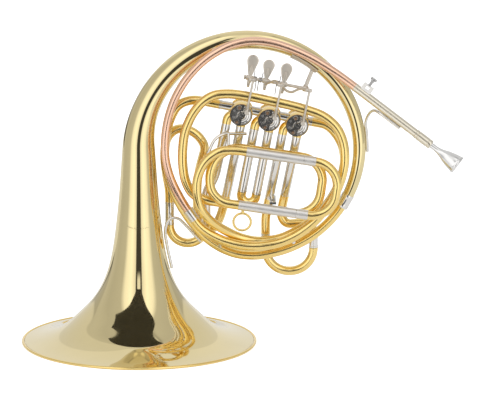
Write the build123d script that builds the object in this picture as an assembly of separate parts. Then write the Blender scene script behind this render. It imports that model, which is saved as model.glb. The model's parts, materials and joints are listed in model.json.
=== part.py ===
"""Single F French horn with three rotary valves, standing upright on its bell.

Frame: origin at the centre of the bell rim on the surface the horn stands on, +Z up
along the bell's axis, +X towards the mouthpiece, -Y towards the lever side.
All dimensions are in millimetres.
"""
from build123d import *
import math
import os

os.makedirs("parts", exist_ok=True)

# ------------------------------------------------------------------ driving dimensions
WALL = 0.6                      # sheet and tube wall
BELL_SHEET = 0.7                # bell wall

RIM_RADIUS = 153.2              # centre of the wire rolled into the bell rim
RIM_WIRE = 1.9                  # radius of that wire
RIM_HEIGHT = 1.7                # height of its centre, so its underside is a narrow flat

COIL_R = 145.0                  # radius of the bell tail's coil
COIL_X = 145.0                  # coil centre
COIL_Z = 262.5

TUBE_R = 6.1                    # gold branch tubing
COIL_TUBE_R = 6.25              # first branch, next to the leadpipe
LEAD_R = 5.5                    # leadpipe
SLEEVE_R = 6.5                  # nickel outer sleeves of the main slide
LEG_R = 5.9                     # nickel inner legs of the main slide
FIT = 0.05                      # radial clearance of a sliding or turning fit

VALVE_R = 15.0                  # rotor casing, outside
VALVE_BORE = 13.5               # rotor casing, inside
VALVE_PITCH = 37.5              # distance between neighbouring rotors
VALVE_TILT = 10.9               # the valve line falls to the right by this many degrees
VALVE_MID = (171.4, 303.7)      # middle rotor's axis (X, Z)
VALVE_FRONT = -20.0             # casing's front and back faces (Y)
VALVE_BACK = 12.0
PORT_Y = -4.0                   # depth of every tube that enters a casing
PORT_U = 5.5                    # main line's height above the rotor axes
RIGHT_LEG = 3.0                 # valve slide legs, sideways from the rotor axis
LEFT_LEG = -16.2
VALVE_TUBE_R = 6.0
VALVE_LEG_R = 5.35              # inner legs of the valve slides

LEVER_TURN = 27.5               # a lever's travel in degrees; its rotor turns 90
CRANK_R = 27.0                  # lever axle to link rod
CRANK_REST = 8.0                # crank's angle above horizontal at rest
STOP_ARM = 9.0                  # rotor axis to link rod
AXLE_U = 47.5                   # lever axle's height above the rotor line
AXLE_Y = -3.0
AXLE_R = 2.0

OVAL_FRONT = -34.0              # depth of the main slide's front pair of legs
OVAL_BACK = -20.5               # depth of the rear pair
OVAL_TILT = 8.4                 # the legs fall to the right by this many degrees
MAIN_SPAN = 72.5                # distance between upper and lower leg

MAIN_DROPS = (0.0, MAIN_SPAN)

TAIL_END = -26.0                # angle where the bell tail meets its ferrule
TAIL_SMALL = 7.6                # tail radius there
OUTLET_START = -32.6            # angle where the ferrule ends and the outlet branch begins
OUTLET_SLEEVE = -68.0           # how far the nickel port sleeves reach, across from the middle
INLET_SLEEVE = 56.5

LEAD_Y = -19.0                  # depth of the leadpipe's ring and of the first coil
LEAD_START = Vector(260.9, -20, 366.0)                  # where the leadpipe turns straight
LEAD_WAY = Vector(0.794, -0.176, -0.582).normalized()
LEAD_SEAM = 28.1                # distances along the straight
SLEEVE_END = 128.7
RECEIVER_END = 154.0
LEAD_LOW = (64.5, LEAD_Y, 183.4)        # ends of the ferrule below the leadpipe
COIL_LOW = (73.5, LEAD_Y, 170.0)

LINK_DROP = 75.5                # the rear lower leg hangs this far below the upper front one
BACK_RISE = -0.7                # and the rear upper leg this far
BACK_START = -64.7
SLEEVE_LEFT = -43.7             # ends of the main slide's outer sleeves, along the legs
SLEEVE_RIGHT = 32.2
FERRULE_END = 48.2
SLIDE_GAP = 0.3                 # seam between a slide and the end of its sleeve

KNUCKLE_END = -18.0             # valve legs begin this far below the rotor axes
ELBOW_U = -4.0                  # height at which a left leg turns into its casing
ROTOR_FRONT = -16.3             # rotor's front and back faces
ROTOR_BACK = 8.3
ARM_BACK = -23.4                # the stop arm lies between these depths
ARM_FRONT = -26.4
SPINDLE_R = 3.5
SPINDLE_TIP_R = 2.5
JOURNAL_R = 3.0
BUMPER_RADIUS = 10.3            # stop bumpers' distance from the rotor axis

TILT_U = -45.0                  # below this height the outer legs lean back
FIRST_Y = 16.0                  # depth of the first valve's slide
FIRST_LEFT = 40.4
FIRST_RIGHT = 88.4
FIRST_TOP = 186.0               # its sleeves, top and bottom
FIRST_BOTTOM = 156.0
THIRD_Y = 14.0
THIRD_LEFT = 167.0
THIRD_RIGHT = 230.0
THIRD_TOP = 144.0
THIRD_BOTTOM = 125.0
SECOND_BOTTOM = -104.0          # the second valve's sleeves end this far below its axis
SECOND_BEND = -117.0
VALVE_SLEEVE_BORE = VALVE_LEG_R + FIT

LEVERS = (-35.2, -13.5, 10.2)   # the three levers' places along their axle
LEVER_HUB = 4.5                 # half the length of a lever's hub
PADDLE_FOOT = 5.5               # each paddle's small end above the axle, and its radius
PADDLE_FOOT_R = 3.0
PADDLE_HEADS = (23.7, 21.3, 20.9)       # and its large end
PADDLE_R = 7.75
SPRING_SIDES = (1, -1, -1)
PIN_R = 1.2
ROD_R = 1.5
ROD_Y = AXLE_Y - CRANK_R * math.cos(math.radians(CRANK_REST))
ROD_TOP = AXLE_U + CRANK_R * math.sin(math.radians(CRANK_REST))
ROD_BOTTOM = STOP_ARM * math.sin(math.radians(45))
AXLE_LEFT = -40.6
AXLE_RIGHT = 41.0
POST_ACROSS = 36.0              # where the lever post's eye begins

SHANK_DEPTH = 21.0              # how far the mouthpiece sits in its receiver
SHANK_TIP_R = 3.3
SHANK_MOUTH_R = 3.65
SOCKET_PLACE = 42.5             # along the leadpipe's straight
SOCKET_SIZE = (15.0, 9.0, 9.0)  # along the pipe, across it, away from it
SOCKET_HOLE = 5.0
SOCKET_BASE = 4.2
SCREW_R = 1.9
SCREW_REACH = 10.5              # from the screw's tip to its head
SCREW_HEAD_R = 4.5
BRACE_R = 2.0

VALVES = (-1, 0, 1)


# ------------------------------------------------------------------ helpers
def save(name, *shapes):
    """Write one node: a group of separate solids in parts/NAME.step."""
    solids = []
    for shape in shapes:
        solids.extend(shape.solids())
    export_step(Compound(children=solids, label=name), f"parts/{name}.step")


def soft_path(points, share=0.94):
    """Straight runs joined by the largest tangent arcs that the runs allow."""
    corners = [Vector(*p) for p in points]
    last = len(corners) - 2
    radii = []
    for index in range(1, last + 1):
        before = corners[index] - corners[index - 1]
        after = corners[index + 1] - corners[index]
        room_before = before.length * (share if index == 1 else share / 2)
        room_after = after.length * (share if index == last else share / 2)
        turn = math.radians(before.get_angle(after))
        radii.append(min(room_before, room_after) / math.tan(turn / 2))
    return FilletPolyline(*corners, radius=radii)


def swept(path, radius):
    """A round bar along a path."""
    start = Plane(origin=path @ 0, z_dir=path % 0)
    return sweep(start * Circle(radius), path=path)


def tube(path, radius, wall=WALL):
    """A round tube along a path."""
    return swept(path, radius) - swept(path, radius - wall)


def bar(a, b, radius, bore=0.0):
    """A straight round bar or tube from a to b."""
    start, end = Vector(*a), Vector(*b)
    face = Plane(origin=start, z_dir=end - start) * Circle(radius)
    if bore:
        face -= Plane(origin=start, z_dir=end - start) * Circle(bore)
    return extrude(face, amount=(end - start).length)


def coil_point(angle, y=0.0, radius=COIL_R):
    """A point on a circle about the coil's centre, angle from +X in degrees."""
    turn = math.radians(angle)
    return (COIL_X + radius * math.cos(turn), y, COIL_Z + radius * math.sin(turn))


def valve_point(across, up, y):
    """A point in the valve section: across and up from the middle rotor's axis."""
    tilt = math.radians(VALVE_TILT)
    x = VALVE_MID[0] + across * math.cos(tilt) + up * math.sin(tilt)
    z = VALVE_MID[1] - across * math.sin(tilt) + up * math.cos(tilt)
    return (x, y, z)


def casing_solid(valve, radius=VALVE_R):
    """The full cylinder that a rotor casing fills, used to trim the tubes it takes."""
    across = valve * VALVE_PITCH
    return bar(valve_point(across, 0, VALVE_FRONT), valve_point(across, 0, VALVE_BACK), radius)


def oval_point(along_leg, down, y):
    """A point of the main slide: along a leg from its middle, down from the upper leg."""
    tilt = math.radians(OVAL_TILT)
    x = 185.0 + along_leg * math.cos(tilt) - down * math.sin(tilt)
    z = 258.3 - along_leg * math.sin(tilt) - down * math.cos(tilt)
    return (x, y, z)


# ------------------------------------------------------------------ bell
BELL_PROFILE = (                # (radius, height) up the outside of the flare
    (151.3, 2.9), (140.0, 4.8), (122.0, 9.6), (104.0, 17.5), (82.0, 36.0), (65.0, 53.5),
    (49.5, 77.0), (38.3, 109.0), (30.3, 158.0), (25.4, 207.0), (21.5, COIL_Z),
)


def bell_flare():
    outer = Spline(*[(r, 0, z) for r, z in BELL_PROFILE])
    inner_points = []
    for step in range(25):
        place = step / 24
        tangent = outer % place
        normal = Vector(-tangent.Z, 0, tangent.X)
        if normal.X > 0:
            normal = -normal
        inner_points.append(outer @ place + normal * BELL_SHEET)
    inner = Spline(*inner_points)
    edge = Line(outer @ 0, inner @ 0)
    top = Line(outer @ 1, inner @ 1)
    return revolve(make_face([outer, inner, edge, top]), Axis.Z)


def rim_wire():
    """A wire with a narrow flat underneath, turned about the bell's axis."""
    half_flat = math.sqrt(RIM_WIRE ** 2 - RIM_HEIGHT ** 2)
    inside, outside = (RIM_RADIUS - half_flat, 0, 0), (RIM_RADIUS + half_flat, 0, 0)
    round_side = ThreePointArc(outside, (RIM_RADIUS, 0, RIM_HEIGHT + RIM_WIRE), inside)
    return revolve(make_face([round_side, Line(inside, outside)]), Axis.Z)


def tail_radius(angle):
    """The tail widens evenly, then faster as it nears the bell."""
    length = math.radians(angle - TAIL_END) * COIL_R
    full = math.radians(180 - TAIL_END) * COIL_R
    even = TAIL_SMALL + 0.0145 * length
    last = 21.5 - TAIL_SMALL - 0.0145 * full
    return even + last * math.exp((length - full) / 80)


def bell_tail():
    count = 16
    outer, inner = [], []
    for step in range(count + 1):
        angle = TAIL_END + (180 - TAIL_END) * step / count
        turn = math.radians(angle)
        heading = (-math.sin(turn), 0, math.cos(turn))
        place = Plane(origin=coil_point(angle), x_dir=(0, 1, 0), z_dir=heading)
        outer.append(place * Circle(tail_radius(angle)))
        inner.append(place * Circle(tail_radius(angle) - BELL_SHEET))
    return loft(outer), loft(inner)


TAIL_SOLID, TAIL_AIR = bell_tail()
save("bell_flare", bell_flare())
save("bell_rim_wire", rim_wire())
save("bell_tail", TAIL_SOLID - TAIL_AIR)


def tail_ferrule():
    place = Plane(origin=(COIL_X, 0, COIL_Z), x_dir=(1, 0, 0), z_dir=(0, -1, 0))
    path = place * CenterArc((0, 0), COIL_R, TAIL_END, OUTLET_START - TAIL_END)
    return swept(path, 8.2) - swept(path, 5.5)


# ------------------------------------------------------------------ outlet branch
def outlet_path():
    """From the bell tail's ferrule round the bottom and the left side to the first rotor."""
    step = 15
    corner_r = COIL_R / math.cos(math.radians(step / 2))
    points = [coil_point(OUTLET_START)]
    for index in range(4):
        points.append(coil_point(OUTLET_START - step * (index + 0.5), 0, corner_r))
    points += [(130, 0, 118.5), (108, 0, 127), (88, 0, 141), (70, 0, 161), (54, -0.5, 186),
               (41, -1, 214), (34, -2, 244), (35, -3, 273), (40, -4, 300), (52, -4, 322)]
    points += [valve_point(-103, PORT_U, PORT_Y), valve_point(OUTLET_SLEEVE, PORT_U, PORT_Y)]
    return soft_path(points)


OUTLET = outlet_path()
save("outlet_branch", tube(OUTLET, TUBE_R))

# ------------------------------------------------------------------ leadpipe


def lead_point(distance):
    return tuple(LEAD_START + LEAD_WAY * distance)


def lead_path():
    around = [(56.7, 195), (42.4, 223.4), (35.1, 250.2), (34.4, 277.2), (38.2, 304.2),
              (46.7, 331.1), (61.9, 358.4), (86.5, 385.4), (118, 404), (147, 410.5),
              (174, 408), (200, 399.8), (228, 387)]
    points = [LEAD_LOW] + [(x, LEAD_Y, z) for x, z in around]
    return soft_path(points + [lead_point(0), lead_point(LEAD_SEAM)])


LEADPIPE = lead_path()
save("leadpipe", tube(LEADPIPE, LEAD_R))
save("branch_ferrules", tail_ferrule(), bar(LEAD_LOW, COIL_LOW, 7.0, LEAD_R - WALL))
save("leadpipe_sleeve", bar(lead_point(LEAD_SEAM), lead_point(SLEEVE_END), LEAD_R, 4.2))

# ------------------------------------------------------------------ first coil
def coil_path():
    """From the leadpipe once round inside the bell tail to the main slide's rear pair."""
    lower = [(79.6, 160.9), (92, 151), (108, 142.5), (132, 135.2), (157, 133.6), (186, 138),
             (212, 151), (235, 170.5), (254, 196), (266, 223), (271.2, 249), (269.5, 273),
             (261, 294)]
    upper = [(243, 310), (210, 321.5), (146, 335.6), (120, 339.5), (99, 338), (83, 328),
             (70, 311), (60.5, 288), (57.8, 265), (57.8, 243.6), (61, 222)]
    points = [COIL_LOW] + [(x, LEAD_Y, z) for x, z in lower + upper]
    points += [(71, -19.8, 203), oval_point(-84, LINK_DROP, OVAL_BACK)]
    points += [oval_point(BACK_START, LINK_DROP, OVAL_BACK)]
    return soft_path(points)


COIL = coil_path()
save("first_coil", tube(COIL, COIL_TUBE_R))

# ------------------------------------------------------------------ main tuning slide
def rear_path():
    right = 61.0
    corners = [
        oval_point(BACK_START, LINK_DROP, OVAL_BACK), oval_point(right, LINK_DROP, OVAL_BACK),
        oval_point(right, BACK_RISE, OVAL_BACK), oval_point(SLEEVE_LEFT, BACK_RISE, OVAL_BACK),
    ]
    return FilletPolyline(*corners, radius=31)


def link_bow():
    points = [
        oval_point(SLEEVE_LEFT, MAIN_SPAN, OVAL_FRONT), oval_point(-66, MAIN_SPAN, OVAL_FRONT),
        (94.5, -30.5, 211), (93, -26, 234), (101, -21.6, 254),
        oval_point(-62, BACK_RISE, OVAL_BACK), oval_point(SLEEVE_LEFT, BACK_RISE, OVAL_BACK),
    ]
    return tube(soft_path(points), TUBE_R)


def main_leg(left, right, outer, bore):
    """The same tube on both front legs of the main slide."""
    legs = [bar(oval_point(left, drop, OVAL_FRONT), oval_point(right, drop, OVAL_FRONT),
                outer, bore) for drop in MAIN_DROPS]
    return legs


def main_bow():
    right = 80.7
    corners = [oval_point(FERRULE_END, 0, OVAL_FRONT), oval_point(right, 0, OVAL_FRONT),
               oval_point(right, MAIN_SPAN, OVAL_FRONT),
               oval_point(FERRULE_END, MAIN_SPAN, OVAL_FRONT)]
    return tube(FilletPolyline(*corners, radius=31.5), TUBE_R)


REAR = rear_path()
save("rear_tuning_bow", tube(REAR, TUBE_R))
save("link_bow", link_bow())
save("main_slide_sleeves", *main_leg(SLEEVE_LEFT, SLEEVE_RIGHT, SLEEVE_R, LEG_R + FIT))
save("main_slide_bow", main_bow())
save("main_slide_legs", *main_leg(-14, FERRULE_END, LEG_R, LEG_R - 0.5))
save("main_slide_ferrules",
     *main_leg(SLEEVE_RIGHT + SLIDE_GAP, FERRULE_END, SLEEVE_R, LEG_R))

# ------------------------------------------------------------------ valve feed branch
def feed_path():
    """From the main slide round the left, bottom and right to the third rotor."""
    points = [oval_point(SLEEVE_LEFT, 0, OVAL_FRONT), oval_point(-60, 0, OVAL_FRONT)]
    points += [
        (106, OVAL_FRONT, 266), (87, OVAL_FRONT, 252.5), (76.6, OVAL_FRONT, 229.5),
        (76.2, OVAL_FRONT, 206.6), (81.9, -33, 185.7), (96.3, -26, 167.5), (113.4, -15, 154.5),
        (133.2, -7, 142.5), (157, -5.5, 137), (185.8, -5, 140.6), (212, -5, 153),
        (235, -5, 171.5), (254, -4.5, 196), (266, -4, 220), (271.2, -4, 247),
        (267.8, -4, 267), (259, -4, 283),
    ]
    points += [valve_point(76, PORT_U, PORT_Y), valve_point(INLET_SLEEVE, PORT_U, PORT_Y)]
    return soft_path(points)


FEED = feed_path()
save("valve_feed_branch", tube(FEED, TUBE_R))

# ------------------------------------------------------------------ rotors and casings
def valve_bar(across, up, front, back, radius, bore=0.0):
    """A round bar along a rotor axis, from depth front to depth back."""
    return bar(valve_point(across, up, front), valve_point(across, up, back), radius, bore)


def cross_bar(start, end, up, y, radius, bore=0.0):
    """A round bar along the valve line."""
    return bar(valve_point(start, up, y), valve_point(end, up, y), radius, bore)


def knuckle_paths(valve):
    """The short tubes from a casing to its two slide legs: a left elbow, a right stub."""
    middle = valve * VALVE_PITCH
    left = [valve_point(middle + LEFT_LEG, KNUCKLE_END, PORT_Y),
            valve_point(middle + LEFT_LEG, ELBOW_U, PORT_Y),
            valve_point(middle - 6, ELBOW_U, PORT_Y)]
    elbow = FilletPolyline(*left, radius=9)
    stub = Line(valve_point(middle + RIGHT_LEG, KNUCKLE_END, PORT_Y),
                valve_point(middle + RIGHT_LEG, -8, PORT_Y))
    return elbow, stub


def port_path(start, end):
    return Line(valve_point(start, PORT_U, PORT_Y), valve_point(end, PORT_U, PORT_Y))


def casing(valve):
    middle = valve * VALVE_PITCH
    shell = valve_bar(middle, 0, VALVE_FRONT, VALVE_BACK, VALVE_R, VALVE_BORE)
    bore = VALVE_TUBE_R - WALL
    shell -= swept(port_path(middle - 16, middle + 16), bore)
    for path in knuckle_paths(valve):
        shell -= swept(path, bore)
    return shell


def rotor(valve):
    middle = valve * VALVE_PITCH
    channel = 4.6
    body = valve_bar(middle, 0, ROTOR_FRONT, ROTOR_BACK, VALVE_BORE - FIT)
    body -= swept(port_path(middle - 16, middle + 16), channel)
    lower = FilletPolyline(valve_point(middle - 16, -5, PORT_Y),
                           valve_point(middle + RIGHT_LEG, -5, PORT_Y),
                           valve_point(middle + RIGHT_LEG, -16, PORT_Y), radius=7)
    body -= swept(lower, channel)
    body += valve_bar(middle, 0, ARM_BACK, ROTOR_FRONT, SPINDLE_R)
    body += valve_bar(middle, 0, ARM_FRONT, ARM_BACK, SPINDLE_TIP_R)
    body += valve_bar(middle, 0, ROTOR_BACK, ROTOR_BACK + 3.1, JOURNAL_R)
    return body


def polar(valve, angle, distance, y):
    """A point round a rotor axis: angle from the valve line, counted upwards."""
    turn = math.radians(angle)
    return valve_point(valve * VALVE_PITCH + distance * math.cos(turn),
                       distance * math.sin(turn), y)


def front_bearing(valve):
    middle = valve * VALVE_PITCH
    disc = valve_bar(middle, 0, -19.7, ROTOR_FRONT - 0.2, VALVE_BORE)
    disc += valve_bar(middle, 0, -22.6, -19.7, 5.6)
    return disc - valve_bar(middle, 0, -23, -16, SPINDLE_R + FIT)


def back_bearing(valve):
    middle = valve * VALVE_PITCH
    return valve_bar(middle, 0, ROTOR_BACK + 0.2, VALVE_BACK - 0.1, VALVE_BORE, JOURNAL_R + FIT)


def valve_cap(valve):
    middle = valve * VALVE_PITCH
    cap = valve_bar(middle, 0, VALVE_BACK, VALVE_BACK + 2.6, VALVE_R + 0.8)
    cap += valve_bar(middle, 0, VALVE_BACK + 2.6, VALVE_BACK + 3.6, VALVE_R - 2.5)
    return cap


def stop_plate(valve):
    """A crescent on the casing's face that carries the two bumpers."""
    middle = valve * VALVE_PITCH
    plate = valve_bar(middle, 0, -21.4, VALVE_FRONT, 14.6, 6.0)
    corner = valve_point(middle + 12, 0, -21)
    block = Pos(*corner) * Rot(0, VALVE_TILT, 0) * Box(20, 6, 40)
    return plate - block


def stop_bumpers(valve):
    bumpers = []
    for angle in (113.0, 247.0):
        bumpers.append(bar(polar(valve, angle, BUMPER_RADIUS, -25.6),
                           polar(valve, angle, BUMPER_RADIUS, -21.4), 1.9))
    return bumpers


def plate_screws(valve):
    screws = []
    for angle in (155.0, 205.0):
        head = bar(polar(valve, angle, 10.6, -22.4), polar(valve, angle, 10.6, -21.4), 1.5)
        slot = Pos(*polar(valve, angle, 10.6, -22.4)) * Rot(0, angle, 0) * Box(4, 0.6, 0.5)
        screws.append(head - slot)
    return screws


def stop_arm(valve):
    """The arm on a rotor's spindle: link rod on one side, stop finger on the other."""
    middle = valve * VALVE_PITCH
    arm = valve_bar(middle, 0, ARM_FRONT, ARM_BACK, 4.6)
    for angle, reach, end_r in ((45.0, STOP_ARM, 2.6), (225.0, 9.6, 1.8)):
        arm += bar(polar(valve, angle, reach, ARM_FRONT), polar(valve, angle, reach, ARM_BACK),
                   end_r)
        centre = polar(valve, angle, reach / 2, (ARM_FRONT + ARM_BACK) / 2)
        web = Rot(0, VALVE_TILT - angle, 0) * Box(reach, ARM_BACK - ARM_FRONT, 2 * end_r)
        arm += Pos(*centre) * web
    return arm - valve_bar(middle, 0, ARM_FRONT, ARM_BACK, SPINDLE_TIP_R)


def arm_screw(valve):
    middle = valve * VALVE_PITCH
    head = valve_bar(middle, 0, ARM_FRONT - 1.4, ARM_FRONT, 3.4)
    top = Pos(*valve_point(middle, 0, ARM_FRONT - 1.4))
    return head - top * Rot(0, 35, 0) * Box(8, 1.2, 0.8)


def port_sleeves():
    """Nickel sleeves on the line through the three casings."""
    ends = ((OUTLET_SLEEVE, -VALVE_PITCH), (-VALVE_PITCH, 0), (0, VALVE_PITCH),
            (VALVE_PITCH, INLET_SLEEVE))
    sleeves = []
    for start, end in ends:
        sleeve = tube(port_path(start, end), VALVE_TUBE_R)
        for valve in VALVES:
            sleeve -= casing_solid(valve)
        sleeves.append(sleeve)
    return sleeves


def knuckles():
    parts = []
    for valve in VALVES:
        for path in knuckle_paths(valve):
            parts.append(tube(path, VALVE_TUBE_R) - casing_solid(valve))
    return parts


save("port_sleeves", *port_sleeves())
save("valve_knuckles", *knuckles())
save("valve_bearings", *[bearing(valve) for bearing in (front_bearing, back_bearing)
                         for valve in VALVES])
save("valve_caps", *[valve_cap(valve) for valve in VALVES])
save("stop_plates", *[stop_plate(valve) for valve in VALVES])
save("stop_bumpers", *[bumper for valve in VALVES for bumper in stop_bumpers(valve)])
save("plate_screws", *[screw for valve in VALVES for screw in plate_screws(valve)])
for number, valve in enumerate(VALVES, 1):
    save(f"rotor_casing_{number}", casing(valve))
    save(f"rotor_{number}", rotor(valve))
    save(f"stop_arm_{number}", stop_arm(valve), arm_screw(valve))

# ------------------------------------------------------------------ valve slides


def leg_points(across):
    return [valve_point(across, KNUCKLE_END, PORT_Y), valve_point(across, TILT_U, PORT_Y)]


def first_valve_tubes():
    """Left leg to the slide's right sleeve, then from its left sleeve back to the right leg."""
    left = leg_points(-VALVE_PITCH + LEFT_LEG)
    left += [valve_point(-VALVE_PITCH + LEFT_LEG, -96, FIRST_Y), (FIRST_RIGHT, FIRST_Y, 200),
             (FIRST_RIGHT, FIRST_Y, FIRST_TOP)]
    right = leg_points(-VALVE_PITCH + RIGHT_LEG)
    right += [valve_point(-VALVE_PITCH + RIGHT_LEG, -122, 22), (108, 27, 165), (101, 30, 149),
              (89, 30.5, 142.5), (78.5, 30.5, 151), (76.6, 30, 172), (76.6, 28.5, 204),
              (79, 24, 226), (83.5, 18.5, 244)]
    loop = [(83.5, 18.5, 244), (88, 13, 262), (77, 12, 278), (62, 12, 286), (48, 12.5, 285),
            (36.5, 13, 273), (33.3, 14, 250), (36, 15.5, 224), (FIRST_LEFT, FIRST_Y, 202),
            (FIRST_LEFT, FIRST_Y, FIRST_TOP)]
    return left, right, loop


def third_valve_tubes():
    left = leg_points(VALVE_PITCH + LEFT_LEG)
    left += [valve_point(VALVE_PITCH + LEFT_LEG, -122, 13), (THIRD_LEFT, THIRD_Y, 165),
             (THIRD_LEFT, THIRD_Y, THIRD_TOP)]
    right = leg_points(VALVE_PITCH + RIGHT_LEG)
    right += [valve_point(VALVE_PITCH + RIGHT_LEG, -110, 12), (186.3, 13.7, 169),
              (193.5, THIRD_Y, 156.5), (THIRD_RIGHT, THIRD_Y, 159),
              (THIRD_RIGHT, THIRD_Y, THIRD_TOP)]
    return left, right


def upright_pair(left, right, y, top, bottom, outer, bore):
    return [bar((x, y, bottom), (x, y, top), outer, bore) for x in (left, right)]


def upright_bow(left, right, y, top, bottom, radius):
    corners = [(left, y, top), (left, y, bottom), (right, y, bottom), (right, y, top)]
    return tube(FilletPolyline(*corners, radius=radius), VALVE_TUBE_R)


first_left, first_right, first_loop = first_valve_tubes()
third_left, third_right = third_valve_tubes()
save("valve_1_legs", tube(soft_path(first_left), VALVE_TUBE_R),
     tube(soft_path(first_right), VALVE_TUBE_R))
save("valve_1_loop", tube(soft_path(first_loop), VALVE_TUBE_R))
save("valve_1_slide_bow", upright_bow(FIRST_LEFT, FIRST_RIGHT, FIRST_Y,
                                      FIRST_BOTTOM - SLIDE_GAP, 130.4, 23.9))
save("valve_1_slide_legs", *upright_pair(FIRST_LEFT, FIRST_RIGHT, FIRST_Y, FIRST_TOP - 1,
                                         FIRST_BOTTOM - SLIDE_GAP, VALVE_LEG_R, 4.9))
save("valve_3_legs", tube(soft_path(third_left), VALVE_TUBE_R),
     tube(soft_path(third_right), VALVE_TUBE_R))
save("valve_3_slide_bow", upright_bow(THIRD_LEFT, THIRD_RIGHT, THIRD_Y,
                                      THIRD_BOTTOM - SLIDE_GAP, 93.0, 31.0))
save("valve_3_slide_legs", *upright_pair(THIRD_LEFT, THIRD_RIGHT, THIRD_Y, THIRD_TOP - 1,
                                         THIRD_BOTTOM - SLIDE_GAP, VALVE_LEG_R, 4.9))


def second_pair(top, bottom, outer, bore):
    return [bar(valve_point(across, bottom, PORT_Y), valve_point(across, top, PORT_Y),
                outer, bore) for across in (LEFT_LEG, RIGHT_LEG)]


def second_bow():
    top = SECOND_BOTTOM - SLIDE_GAP
    corners = [valve_point(LEFT_LEG, top, PORT_Y), valve_point(LEFT_LEG, SECOND_BEND, PORT_Y),
               valve_point(RIGHT_LEG, SECOND_BEND, PORT_Y), valve_point(RIGHT_LEG, top, PORT_Y)]
    return tube(FilletPolyline(*corners, radius=9.5), VALVE_TUBE_R)


save("valve_slide_sleeves",
     *upright_pair(FIRST_LEFT, FIRST_RIGHT, FIRST_Y, FIRST_TOP, FIRST_BOTTOM,
                   VALVE_TUBE_R, VALVE_SLEEVE_BORE),
     *second_pair(KNUCKLE_END, SECOND_BOTTOM, VALVE_TUBE_R, VALVE_SLEEVE_BORE),
     *upright_pair(THIRD_LEFT, THIRD_RIGHT, THIRD_Y, THIRD_TOP, THIRD_BOTTOM,
                   VALVE_TUBE_R, VALVE_SLEEVE_BORE))
save("valve_2_slide_bow", second_bow())
save("valve_2_slide_legs", *second_pair(SECOND_BOTTOM + 40, SECOND_BOTTOM - SLIDE_GAP,
                                        VALVE_LEG_R, 4.9))

# ------------------------------------------------------------------ levers and link rods
CRANK_BENDS = (                 # each crank's bends: across, up and depth
    ((-35.0, 42.5, -8), (-34.6, 45.5, -19)),
    ((-9.0, 48.0, -12), (-2.5, 54.0, -20), (1.5, 52.5, -27)),
    ((13.5, 41.5, -9), (21.5, 40.5, -14), (33.5, 52.0, -23)),
)


def rod_across(valve):
    return valve * VALVE_PITCH + STOP_ARM * math.cos(math.radians(45))


def valve_plane(across, up, y):
    """A sketch plane facing the player: x along the valve line, y up."""
    tilt = math.radians(VALVE_TILT)
    return Plane(origin=valve_point(across, up, y), z_dir=(0, -1, 0),
                 x_dir=(math.cos(tilt), 0, -math.sin(tilt)))


def taper(across, low, low_r, high, high_r, y, thick):
    """A flat bar whose ends are round, from height low to height high, centred at depth y."""
    ends = (Pos(0, low) * Circle(low_r)).edges() + (Pos(0, high) * Circle(high_r)).edges()
    place = valve_plane(across, AXLE_U, y + thick / 2)
    return extrude(place * make_hull(ends), amount=thick)


def lever(valve, across):
    """Finger paddle, hub and crank in one piece."""
    end = rod_across(valve)
    paddle = taper(across, PADDLE_FOOT, PADDLE_FOOT_R, PADDLE_HEADS[valve + 1], PADDLE_R,
                   AXLE_Y, 1.8)
    paddle = fillet(paddle.edges(), 0.7)
    stem = taper(across, 0, 2.6, 15.5, 1.5, AXLE_Y - 0.9, 3.0)
    tail = taper(across, -10.5, 1.9, 0, 2.8, AXLE_Y - 0.9, 3.0)
    bends = [valve_point(across, 43.5, AXLE_Y - 0.9)]
    bends += [valve_point(*bend) for bend in CRANK_BENDS[valve + 1]]
    bends += [valve_point(end - 3.9, ROD_TOP, ROD_Y)]
    crank = swept(soft_path(bends), 1.7)
    cheek = cross_bar(end - 5.2, end - 2.0, ROD_TOP, ROD_Y, 2.6)
    pin = cross_bar(end - 2.0, end + 3.0, ROD_TOP, ROD_Y, PIN_R)
    head = cross_bar(end + 2.1, end + 3.2, ROD_TOP, ROD_Y, 2.3)
    hub = cross_bar(across - LEVER_HUB, across + LEVER_HUB, AXLE_U, AXLE_Y, 3.4)
    whole = paddle + stem + tail + crank + cheek + pin + head + hub
    return whole - cross_bar(across - 9, across + 9, AXLE_U, AXLE_Y, AXLE_R + FIT)


def link_rod(valve):
    """From a crank's pin down to the stop arm, with an adjusting nut near its lower end."""
    place = rod_across(valve)
    shank_y = ROD_Y - 0.4
    eye = cross_bar(place - 1.9, place + 1.9, ROD_TOP, ROD_Y, 2.7)
    shank = bar(valve_point(place, ROD_BOTTOM + 1.0, shank_y),
                valve_point(place, ROD_TOP - 1.7, shank_y), ROD_R)
    nut = bar(valve_point(place, ROD_BOTTOM + 6, shank_y),
              valve_point(place, ROD_BOTTOM + 12, shank_y), 2.4)
    barrel = valve_bar(place, ROD_BOTTOM, ROD_Y - 2.0, ROD_Y + 1.15, 3.0)
    whole = eye + shank + nut + barrel
    return whole - cross_bar(place - 3, place + 3, ROD_TOP, ROD_Y, PIN_R + FIT)


def lever_spring(across, side):
    """A wire coil beside a hub, one end under the lever and one down on the first coil."""
    pitch = 1.15
    start = across + side * (LEVER_HUB + 1.0)
    tilt = math.radians(VALVE_TILT)
    line = (math.cos(tilt), 0, -math.sin(tilt))
    coil = None
    for turn in range(4):
        place = Plane(origin=valve_point(start + side * pitch * turn, AXLE_U, AXLE_Y), z_dir=line)
        ring = place * Torus(3.1, 0.62)
        coil = ring if coil is None else coil + ring
    far = start + side * pitch * 3
    coil += bar(valve_point(far, AXLE_U - 3.1, AXLE_Y), valve_point(far, 34.2, -15.0), 0.6)
    coil += bar(valve_point(start, AXLE_U, AXLE_Y + 3.1),
                valve_point(start, AXLE_U + 10, AXLE_Y + 3.1), 0.6)
    return coil


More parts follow.
